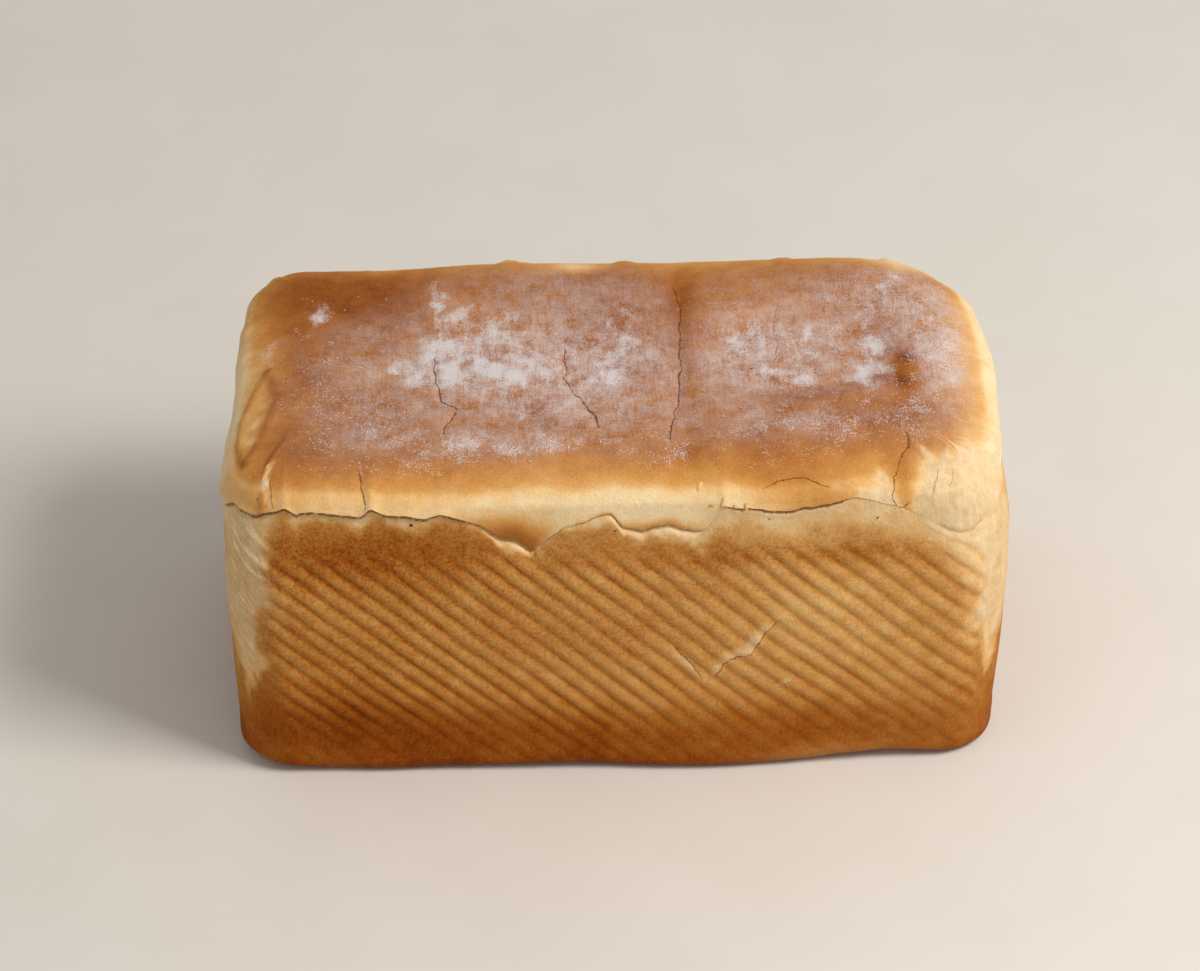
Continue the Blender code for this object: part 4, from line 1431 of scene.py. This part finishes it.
    # the patches at 117 and 134 are painted shade in the hollow behind the rim; those of the V at 86 and 94
    # are browner crust and painted shade
    gap_bake_and_shade: tuple[Patch, ...] = (
        Patch(86, 107.6, 10, 2.1, 0.6), Patch(94, 107.3, 5, 1.9, 0.32), Patch(207.5, 114, 3, 9, 0.3),
        Patch(117, 107.2, 8, 1.1, 0.26), Patch(134, 107.2, 11, 1.3, 0.42),
    )  # fmt: skip
    clouds: tuple[Patch, ...] = (
        Patch(-48, -2, 4, 5, 0.35), Patch(-37, 13, 3, 5, 0.4), Patch(-50, 10, 5, 5, 0.45),
        Patch(-58, -3, 12, 14, 0.5), Patch(-42, 4, 17, 14, 0.5), Patch(-30, -6, 14, 10, 0.3),
        Patch(-53, 28, 1.6, 14, 0.55), Patch(-44, 27, 9, 11, 0.42), Patch(-31, 21, 6, 9, 0.42),
        Patch(-20, 34, 7, 8, 0.32), Patch(2, 6, 9, 8, 0.74), Patch(4, -6, 6, 6, 0.58),
        Patch(-7, -6, 8, 6, 0.58), Patch(8, 23, 9, 12, 0.52), Patch(-21, -1, 11, 15, 0.46),
        Patch(-12, -22, 34, 12, 0.26), Patch(-27, -26, 6, 6, 0.26), Patch(-72, 7, 1.6, 2.2, 0.4),
        Patch(-67, 0, 2.0, 3.0, 0.4), Patch(44, 15, 8, 12, 0.62), Patch(62, 16, 5, 9, 0.58),
        Patch(64, 4, 6, 6, 0.56), Patch(59, -7, 9, 8, 0.6), Patch(48, -6, 9, 10, 0.34),
        Patch(81, 11, 6, 25, 0.52), Patch(83, -1, 4, 7, 0.4), Patch(79, -12, 6, 6, 0.42),
        Patch(109, -5, 12, 28, 0.3), Patch(92, 38, 14, 14, 0.34), Patch(-109, 9, 2.6, 9, 0.4),
        Patch(-93, 27, 3.7, 6, 0.4), Patch(-38, -42, 16, 4, 0.34),
    )  # fmt: skip
    films: tuple[Patch, ...] = (
        Patch(-22, -2, 50, 32, 0.95), Patch(58, 4, 36, 28, 0.7), Patch(108, 6, 20, 38, 0.8),
        Patch(84, 36, 22, 14, 0.4), Patch(-80, -4, 18, 34, 0.22), Patch(-95, 40, 24, 16, -0.3),
        Patch(92, -6, 4.4, 12, -0.9), Patch(74, -22, 22, 6, -0.22), Patch(56, -32, 34, 8, 0.26),
        Patch(-36, -37, 34, 7, 0.26), Patch(-76, -32, 14, 14, 0.2), Patch(25, 14, 6, 30, -0.4),
        Patch(-15, 40, 34, 14, 0.25), Patch(0, -24, 26, 12, 0.2),
    )  # fmt: skip
    specks: tuple[Patch, ...] = (
        Patch(-38, -41, 17, 3.6, 1.6), Patch(-11, -39, 12, 3, 0.6), Patch(14, -41, 7, 5, 0.6),
        Patch(-74, -33, 11, 11, 0.6), Patch(-68, -51, 17, 5, 0.35), Patch(-91, -11, 9, 28, 0.2),
        Patch(55, -36, 20, 9, 0.4), Patch(70, -37, 9, 4, 0.6), Patch(90, -27, 11, 11, 0.4),
        Patch(108, -1, 15, 34, 0.35), Patch(-20, -10, 60, 34, 0.035), Patch(60, 0, 40, 34, 0.06),
    )  # fmt: skip
    front_margins: tuple[float, float] = (12 * MM, 10 * MM)
    end_margin: float = 21 * MM
    back_margin: float = 17 * MM

    def build(self) -> tuple[Any, Skin, Array]:
        """Works out the skin, puts it in the place of the solid and dresses it.

        Returns:
            The piece, the skin that it was made from, and the density of loose grains on each point.
        """
        net = Net(self.form)
        on_wall = np.arange(len(net.x)) < net.rows * net.ring
        skin = Skin(self.form, net.x, net.y, net.band, on_wall, self.cracks, self.wall_cracks, self.folds)
        seat = Seat.on_box(skin.points, *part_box("loaf"))
        piece = put_mesh("crust", seat.move(skin.points), net.faces(), self.finish.material())
        fields = self.fields(skin)
        specks = fields.pop("specks")
        for name, values in fields.items():
            put_attribute(piece, name, values)
        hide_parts("loaf")
        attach(piece, "root")
        return piece, skin, specks

    def fields(self, skin: Skin) -> dict[str, Array]:
        """Browning with some painted shade, flour, torn dough, ribs, cracks with painted shade in the break's
        gap, and the density of loose grains at each point.

        Args:
            skin: the surface.

        Returns:
            Each field by its name.
        """
        crown = (skin.band > self.form.break_height + 0.2 * MM) | ~skin.on_wall
        x, y = skin.plan_x, skin.plan_y
        wall_bake, wall_torn = self.wall_bake(skin)
        top_bake, top_torn = self.top_bake(skin)
        # bake_and_shade is browning, with painted shade added at the left end and in the hollow behind the
        # break's rim
        bake_and_shade = np.where(crown, top_bake, wall_bake)
        edge = crown * eased(0.45, 0.9, skin.over)
        spot = np.column_stack([x, y])
        swept_x = x + 3.4 * MM * Noise(64).at(spot, 8 * MM) + 1.6 * MM * Noise(65).at(spot, 3.2 * MM)
        swept_y = y + 3.4 * MM * Noise(66).at(spot, 8 * MM) + 1.6 * MM * Noise(67).at(spot, 3.2 * MM)
        heaped = 1 + 0.45 * Noise(68).at(spot, 5 * MM) + 0.25 * Noise(69).at(spot, 2.4 * MM)
        return {
            "bake_and_shade": bake_and_shade,
            "torn": np.clip(np.where(crown, top_torn, wall_torn), 0, 1),
            "top": crown * 1.0,
            "flour": painted(self.clouds, swept_x, swept_y) * edge * heaped,
            "film": painted(self.films, x, y) * edge,
            "rib": np.where(crown, 0, (skin.ridge - 0.5) * skin.shown),
            "fold": np.clip(skin.fold, 0, 1) * skin.on_wall * eased(30 * MM, 15 * MM, skin.unrolled),
            "crack_and_shade_side": skin.crack_and_shade_side,
            "crack_and_shade_depth": skin.crack_and_shade_depth,
            "specks": painted(self.specks, swept_x, swept_y) * crown * eased(0.6, 0.9, skin.over),
        }

    def wall_bake(self, skin: Skin) -> tuple[Array, Array]:
        """Browning of the walls: an even one plus its patches, some of them painted shade, paler under the
        break and at the corners, with a thin paler line at the rim's edge that is partly a painted highlight.

        Args:
            skin: the surface.

        Returns:
            How far it is baked, with that painted shade and highlight in it, and how much of it is torn
            dough, each from 0 to 1.
        """
        z = skin.height
        front = self.form.front_share(skin.place)
        spot = np.column_stack([skin.place, z])
        bake_and_shade = 0.51 + 0.05 * Noise(51).at(spot, 30 * MM)
        # the front's patches: browning, with painted shade towards its left end
        bake_and_shade = bake_and_shade + front * painted(self.front_bake_and_shade, skin.plan_x, z)
        high = hump(z, 88 * MM, 9 * MM) * (0.55 + 0.45 * Noise(52).at(spot, 40 * MM))
        low = hump(z, 0, 24 * MM) * (0.8 + 0.2 * Noise(56).at(spot, 50 * MM))
        bake_and_shade = bake_and_shade + (1 - front) * (0.26 * high + 0.4 * low)
        corner = self.bare_corner(skin, spot)
        bake_and_shade = bake_and_shade * (1 - 0.75 * corner) + 0.07 * corner
        wander = Noise(54).at(spot, 6 * MM) * 2.2 * MM + Noise(57).at(spot, 2.2 * MM) * 1.5 * MM
        drop = skin.edges["top"] - z
        pale = 1 - eased(skin.edges["pale"] * 0.1, skin.edges["pale"] * 1.5 + 1.5 * MM, drop + wander)
        # rim: a thin paler line along the side's top edge under the break, partly pale torn dough and partly
        # a painted highlight
        rim = 1 - eased(0.1 * MM, 1.0 * MM, drop + 0.15 * wander)
        bake_and_shade = bake_and_shade * (1 - 0.66 * pale) * (1 - 0.3 * rim)
        patches = self.peeled(skin)
        torn = np.maximum(0.6 * pale, np.maximum(0.75 * corner, 0.4 * rim)) * eased(10 * MM, 60 * MM, z)
        return bake_and_shade * (1 - 0.35 * np.clip(patches, 0, 1)), np.maximum(torn, 0.6 * patches)

    def bare_corner(self, skin: Skin, spot: Array) -> Array:
        """Bare dough at the walls' corners: one there, zero past a margin that narrows towards the base.

        Args:
            skin: the surface.
            spot: way round and height of its points.

        Returns:
            The share of bare dough.
        """
        z, half_width = skin.height, self.form.half_width
        inside = np.minimum(skin.along, skin.side - skin.along) + Noise(53).at(spot, 9 * MM) * 4.5 * MM
        inside = inside + Noise(63).at(spot, 3 * MM) * 2.2 * MM
        past_front = np.maximum(-skin.unrolled, skin.unrolled - self.form.length)
        margin = np.where(skin.along < skin.side / 2, *self.front_margins)
        margin = np.where((past_front > 0) & (past_front < half_width), self.end_margin, margin)
        margin = np.where(past_front >= half_width, self.back_margin, margin) * eased(22 * MM, 62 * MM, z)
        corner = 1 - eased(margin * 0.4, margin * 1.4 + 0.1 * MM, inside)
        return corner * eased(22 * MM, 40 * MM, z)

    def peeled(self, skin: Skin) -> Array:
        """Dough bared by the wall's patches, and on one side of each tear, widest at the tear's middle.

        Args:
            skin: the surface.

        Returns:
            The strength of the bare dough.
        """
        patches = painted(self.wall_torn, skin.unrolled, skin.band)
        for trace, width in self.peels:
            signed, share = trace.measure(skin.unrolled, skin.band)
            taper = np.sqrt(np.clip(4 * share * (1 - share), 0, 1))
            reach = width * taper
            patches = patches + taper * eased(-0.4, 0.3, signed) * eased(reach + 0.5, reach - 1, signed)
        return patches

    def top_bake(self, skin: Skin) -> tuple[Array, Array]:
        """Browning of the crown: pale at the lip, orange over the shoulder, brown on top, plus its patches,
        some of them painted shade.

        Args:
            skin: the surface.

        Returns:
            How far it is baked, with painted shade at the lip's left end and in the hollow behind the rim,
            and how much of it is torn dough, each from 0 to 1.
        """
        x, y = skin.plan_x, skin.plan_y
        spot = np.column_stack([x, y])
        wander = 0.06 * Noise(58).at(spot, 11 * MM)
        rise = np.interp(skin.over + wander, *self.rise)
        # lip and tongue: browning, with painted shade at the lip's left end and in the hollow behind the rim
        lip = painted(self.lip_bake_and_shade, x, y) * (1 - skin.over)
        tongue = painted(self.gap_bake_and_shade, skin.unrolled, skin.band) * skin.on_wall
        spots = painted(self.crown_bake, x, y)
        away_x, away_y = self.form.from_middle(x, y, self.form.oval_mm)
        ring = hump(np.hypot(away_x, away_y), 0.93, 0.13) * eased(-0.2, 0.7, 0.8 * away_x - 0.6 * away_y)
        bake_and_shade = rise + lip + tongue + spots + 0.08 * ring + 0.07 * Noise(55).at(spot, 24 * MM)
        patches = painted(self.shoulder_torn, skin.unrolled, skin.band) * skin.on_wall
        net_spot = np.column_stack([skin.unrolled, skin.band])
        ragged = 0.2 * Noise(59).at(net_spot, 5 * MM) + 0.16 * Noise(60).at(net_spot, 2.4 * MM)
        torn = eased(0.28, 0.75, patches + ragged)
        return bake_and_shade * (1 - 0.8 * torn) + 0.1 * torn + 0.2 * skin.fold * (1 - torn), 0.85 * torn


@dataclass(frozen=True)
class Seat:
    """Moves points of the form onto the box of the solid that they stand in for."""

    bottom: Array
    scale: Array
    low: Array

    @classmethod
    def on_box(cls, points: Array, low: Sequence[float], high: Sequence[float]) -> Seat:
        """The seat that brings these points' own box onto a given one."""
        bottom, top = points.min(axis=0), points.max(axis=0)
        return cls(bottom, (np.array(high) - np.array(low)) / (top - bottom), np.array(low))

    def move(self, points: Array) -> Array:
        """The points on their seat."""
        return self.low + (points - self.bottom) * self.scale


@dataclass
class FlourGrains:
    """Grains and clumps of flour that lie on the crown, each a flattened octahedron.

    Attributes:
        count: number of grains.
        clump: grains in one clump.
        spread: how far a clump's grains lie from its middle.
        looseness: least and most that this is multiplied by.
        small: half the width of the smallest grain.
        large: half the width of the largest.
        heading: mean turn of the grains' length from the loaf's, in radians.
        heading_spread: how far their turns differ from it, in radians.
        length: least and most of a grain's length over its width.
        thickness: a grain's thickness over its width.
        unevenness: least and most that each of its tips is drawn out.
        lift: how far its middle lies above the crust, over its half width.
        seed: start of the random draws.
        finish: their look.
    """

    count: int = 24000
    clump: int = 4
    spread: float = 0.4 * MM
    looseness: tuple[float, float] = (0.5, 1.8)
    small: float = 0.05 * MM
    large: float = 0.175 * MM
    heading: float = math.radians(20)
    heading_spread: float = 0.7
    length: tuple[float, float] = (1.0, 1.25)
    thickness: float = 0.5
    unevenness: tuple[float, float] = (0.75, 1.25)
    lift: float = 0.2
    seed: int = 7
    finish: FlourFinish = FlourFinish()

    def build(self, crust: Any, density: Array) -> Any:
        """Scatters the grains over a crust's faces, a face's chance being its area times the density.

        Args:
            crust: the piece that they lie on.
            density: how thick they lie at each of its points.

        Returns:
            The piece.
        """
        points, corners = self.triangles(crust.data)
        first, second, third = (points[corners[:, k]] for k in range(3))
        normal = np.cross(second - first, third - first)
        area = np.linalg.norm(normal, axis=1)
        clumped = 0.15 + 1.5 * np.clip(Noise(71).at(first[:, :2], 4 * MM) + 0.3, 0, 1) ** 2
        weight = density[corners].mean(axis=1) * area * clumped
        draw = np.random.default_rng(self.seed)
        chosen = draw.choice(len(corners), self.count // self.clump, p=weight / weight.sum())
        share = np.repeat(draw.dirichlet((1, 1, 1), len(chosen)), self.clump, axis=0)
        chosen = np.repeat(chosen, self.clump)
        centre = (share[:, :, None] * points[corners[chosen]]).sum(axis=1)
        grains = self.grains(draw, centre, normal[chosen] / area[chosen][:, None])
        upper = [(0, 1, 4), (1, 2, 4), (2, 3, 4), (3, 0, 4)]
        lower = [(1, 0, 5), (2, 1, 5), (3, 2, 5), (0, 3, 5)]
        shape = np.array(upper + lower)
        faces = (shape[None] + 6 * np.arange(self.count)[:, None, None]).reshape(-1, 3).tolist()
        piece = put_mesh("flour_grains", grains.reshape(-1, 3), faces, self.finish.material(), smooth=False)
        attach(piece, "root")
        return piece

    @staticmethod
    def triangles(mesh: Any) -> tuple[Array, NDArray[np.int64]]:
        """Reads a mesh as triangles.

        Args:
            mesh: the mesh.

        Returns:
            Its points, and the numbers of each triangle's three.
        """
        mesh.calc_loop_triangles()
        points = np.empty(len(mesh.vertices) * 3)
        mesh.vertices.foreach_get("co", points)
        corners = np.empty(len(mesh.loop_triangles) * 3, dtype=np.int64)
        mesh.loop_triangles.foreach_get("vertices", corners)
        return points.reshape(-1, 3), corners.reshape(-1, 3)

    def grains(self, draw: np.random.Generator, centre: Array, up: Array) -> Array:
        """Six tips for each grain: its middle plus and minus its half length, width and thickness.

        Args:
            draw: the random draws.
            centre: a point of the crust for each grain.
            up: the way out of the crust there.

        Returns:
            The tips, six to a grain.
        """
        size = self.small + (self.large - self.small) * draw.random(self.count) ** 3
        turn = draw.normal(self.heading, self.heading_spread, self.count)
        way = np.column_stack([np.cos(turn), np.sin(turn), np.zeros(self.count)])
        way = way - (way * up).sum(axis=1, keepdims=True) * up
        way = way / np.linalg.norm(way, axis=1, keepdims=True)
        across = np.cross(up, way)
        shift = draw.normal(0, self.spread, (self.count, 2)) * draw.uniform(*self.looseness, (self.count, 1))
        centre = centre + way * shift[:, :1] + across * shift[:, 1:]
        half_length = size * draw.uniform(*self.length, self.count)
        radius = np.column_stack([half_length, size, size * self.thickness])
        reach = radius[:, [0, 1, 0, 1, 2, 2]] * draw.uniform(*self.unevenness, (self.count, 6))
        tips = np.stack([way, across, -way, -across, up, -up], axis=1)
        return centre[:, None] + up[:, None] * (size * self.lift)[:, None, None] + tips * reach[:, :, None]


@dataclass(frozen=True)
class Crumb:
    """One crumb or flake that sticks to the skin.

    Attributes:
        first_mm: way round the net, or plan x on the crown.
        second_mm: band, or plan y on the crown.
        size_mm: half its length, width and thickness.
        turn: turn of its length from the level, in degrees.
        toast: how dark it is, from 0 to 1.
        on_crown: whether it lies on the crown.
    """

    first_mm: float
    second_mm: float
    size_mm: tuple[float, float, float]
    turn: float
    toast: float
    on_crown: bool = False


@dataclass
class Crumbs:
    """The crumbs and flakes, each a lumpy flattened ball of rings of points between two poles.

    Attributes:
        rings: rings of points on a ball.
        spokes: points on a ring.
        lumps: how far the lumps stand out, as a share of the ball's radius.
        lump_seed: start of the lumps' noise.
        finish: their look.
        crumbs: where they stick.
    """

    rings: int = 7
    spokes: int = 12
    lumps: float = 0.3
    lump_seed: int = 80
    finish: CrumbFinish = CrumbFinish()
    crumbs: tuple[Crumb, ...] = (
        Crumb(57.5, 102.2, (0.5, 0.5, 0.35), 0, 1.0), Crumb(119.3, 102.0, (0.45, 0.3, 0.25), 30, 0.85),
        Crumb(198.5, 99.5, (0.4, 0.4, 0.3), 0, 0.7), Crumb(165.9, 102.4, (0.35, 0.3, 0.25), 0, 0.6),
        Crumb(44.8, -2.3, (0.4, 0.35, 0.25), 0, 0.95, True), Crumb(145, 117.5, (1.5, 0.7, 0.3), 75, 0.2),
        Crumb(148, 110.7, (1.1, 0.6, 0.3), 20, 0.3), Crumb(151.9, 110.4, (1.7, 0.5, 0.3), 80, 0.15),
        Crumb(155, 108.6, (0.9, 0.5, 0.3), 130, 0.35), Crumb(158.9, 107.4, (1.3, 0.6, 0.3), 100, 0.2),
        Crumb(12.5, 110.5, (0.9, 0.5, 0.3), 60, 0.3), Crumb(9.5, 113.0, (0.7, 0.4, 0.3), 20, 0.5),
    )  # fmt: skip

    def build(self, crust: Any, skin: Skin) -> Any:
        """Sets the crumbs on a crust.

        Args:
            crust: the piece that they stick to.
            skin: the surface it was made from.

        Returns:
            The piece.
        """
        rise = np.linspace(-math.pi / 2, math.pi / 2, self.rings + 2)[1:-1]
        turn = np.arange(self.spokes) / self.spokes * 2 * math.pi
        rise, turn = (grid.ravel() for grid in np.meshgrid(rise, turn, indexing="ij"))
        ball = np.column_stack([np.cos(rise) * np.cos(turn), np.cos(rise) * np.sin(turn), np.sin(rise)])
        ball = np.vstack([ball, (0, 0, -1), (0, 0, 1)])
        solids = [self.lump(number, crumb, ball, crust, skin) for number, crumb in enumerate(self.crumbs)]
        starts = range(0, len(ball) * len(solids), len(ball))
        faces = [[start + corner for corner in face] for start in starts for face in self.faces()]
        piece = put_mesh("crumbs", np.vstack(solids), faces, self.finish.material())
        put_attribute(piece, "toast", np.repeat([crumb.toast for crumb in self.crumbs], len(ball)))
        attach(piece, "root")
        return piece

    def lump(self, number: int, crumb: Crumb, ball: Array, crust: Any, skin: Skin) -> Array:
        """One crumb's points: the ball times its half sizes and some noise, turned onto the skin.

        Args:
            number: the crumb's number, which picks its noise.
            crumb: its place, size and turn.
            ball: points of a ball with a radius of one.
            crust: the piece that it sticks to.
            skin: the surface that the piece was made from.

        Returns:
            The points, in their place.
        """
        first, second = (skin.plan_x, skin.plan_y) if crumb.on_crown else (skin.unrolled, skin.band)
        away = np.hypot(first - crumb.first_mm * MM, second - crumb.second_mm * MM)
        away = np.where(skin.over > 0.9, away, 1.0) if crumb.on_crown else np.where(skin.on_wall, away, 1.0)
        vertex = crust.data.vertices[int(np.argmin(away))]
        up = np.array(vertex.normal)
        level = np.cross((0, 0, 1), up) if abs(up[2]) < 0.9 else np.cross(up, (0, 1, 0))
        level = level / np.linalg.norm(level)
        angle = math.radians(crumb.turn)
        along = math.cos(angle) * level + math.sin(angle) * np.cross(up, level)
        axes = np.array([along, np.cross(up, along), up])
        lumpy = ball * (1 + self.lumps * Noise(self.lump_seed + number).at(ball, 0.7))[:, None]
        return np.array(vertex.co) + (lumpy * np.array(crumb.size_mm) * MM) @ axes

    def faces(self) -> list[list[int]]:
        """Faces of one ball, outward: fours between its rings, threes at its two poles.

        Returns:
            The numbers of each face's points.
        """
        spokes, last = self.spokes, (self.rings - 1) * self.spokes
        low, high = self.rings * spokes, self.rings * spokes + 1
        point = np.arange(last)
        beside = point // spokes * spokes + (point + 1) % spokes
        sides = np.column_stack([point, beside, beside + spokes, point + spokes]).tolist()
        bottom = [[low, (k + 1) % spokes, k] for k in range(spokes)]
        return [*sides, *bottom, *([high, last + k, last + (k + 1) % spokes] for k in range(spokes))]


@dataclass(frozen=True)
class Studio:
    """The plain pale floor, the soft light and the camera at the photograph's angle.

    Attributes:
        azimuth: the camera's turn round the loaf from square on to its front, in degrees.
        elevation: how far above the horizon it stands, in degrees.
        distance: its distance from the aim.
        aim: the point that the camera and the lamp face.
        image_width: width of the picture, in pixels.
        focal_px: focal length, in the same pixels.
        shift_px: how far the lens is shifted left and up, in the same pixels.
        sensor: width of the sensor, in millimetres.
        view_end: how far the camera sees.
        floor_half: half a side of the floor.
        sky: colour of the light from all round.
        sky_strength: strength of that light.
        key_place: place of the lamp.
        key_size: a side of the lamp.
        key_power: power of the lamp, in watts.
        key_colour: colour of the lamp.
        finish: look of the floor.
    """

    azimuth: float = -2.2
    elevation: float = 39.5
    distance: float = 1.575
    aim: tuple[float, float, float] = (-1.66 * MM, 0, 58 * MM)
    image_width: float = 1200
    focal_px: float = 4950
    shift_px: tuple[float, float] = (7.5, 22)
    sensor: float = 36
    view_end: float = 20
    floor_half: float = 3.0
    sky: Colour = (1.0, 0.985, 0.96, 1)
    sky_strength: float = 0.48
    key_place: tuple[float, float, float] = (0.8, -0.42, 1.12)
    key_size: float = 0.5
    key_power: float = 15
    key_colour: tuple[float, float, float] = (1.0, 0.97, 0.93)
    finish: FloorFinish = FloorFinish()

    def build(self) -> None:
        """Builds floor, lights and camera."""
        self.floor()
        self.lights()
        self.camera()

    def floor(self) -> None:
        """A large pale sheet under the loaf."""
        half = self.floor_half
        points = np.array([[-half, -half, 0], [half, -half, 0], [half, half, 0], [-half, half, 0]])
        floor = put_mesh("floor", points, [[0, 1, 2, 3]], self.finish.material(), smooth=False)

    def lights(self) -> None:
        """A pale sky, and a soft square lamp above and to the right that faces the loaf."""
        world = bpy.data.worlds.new("studio")
        world.use_nodes = True
        background = world.node_tree.nodes["Background"]
        background.inputs["Color"].default_value = self.sky
        background.inputs["Strength"].default_value = self.sky_strength
        bpy.context.scene.world = world
        lamp = bpy.data.lights.new("key", "AREA")
        lamp.shape = "SQUARE"
        lamp.size = self.key_size
        lamp.energy = self.key_power
        lamp.color = self.key_colour
        holder = bpy.data.objects.new("key", lamp)
        holder.location = self.key_place
        holder.rotation_euler = self.facing(np.array(self.aim) - np.array(self.key_place))
        bpy.context.scene.collection.objects.link(holder)

    @staticmethod
    def facing(way: Array) -> tuple[float, float, float]:
        """Turn of an object whose own -Z is to point along a way, with its top up."""
        flat = math.hypot(way[0], way[1])
        return (math.atan2(flat, -way[2]), 0.0, math.atan2(way[1], way[0]) - math.pi / 2)

    def camera(self) -> None:
        """The camera, placed by its two angles round the aim."""
        turn, rise = math.radians(self.azimuth), math.radians(self.elevation)
        back = np.array([math.sin(turn) * math.cos(rise), -math.cos(turn) * math.cos(rise), math.sin(rise)])
        data = bpy.data.cameras.new("camera")
        data.sensor_width = self.sensor
        data.lens = self.focal_px / self.image_width * self.sensor
        data.shift_x = -self.shift_px[0] / self.image_width
        data.shift_y = self.shift_px[1] / self.image_width
        data.clip_end = self.view_end
        camera = bpy.data.objects.new("camera", data)
        camera.location = np.array(self.aim) + back * self.distance
        camera.rotation_euler = self.facing(-back)
        bpy.context.scene.collection.objects.link(camera)
        bpy.context.scene.camera = camera


def main() -> None:
    """Builds the pieces in order and reports each."""
    logging.basicConfig(level=logging.INFO, format="%(message)s")
    bpy.context.scene.view_settings.view_transform = "Standard"
    form = TinForm()
    crust, skin, specks = Crust(form).build()
    LOG.info("crust: %d points, %d faces", len(crust.data.vertices), len(crust.data.polygons))
    grains = FlourGrains().build(crust, specks)
    LOG.info("flour grains: %d faces", len(grains.data.polygons))
    crumbs = Crumbs().build(crust, skin)
    LOG.info("crumbs: %d faces", len(crumbs.data.polygons))
    Studio().build()
    LOG.info("studio: floor, lights and camera")


if __name__ == "__main__":
    main()
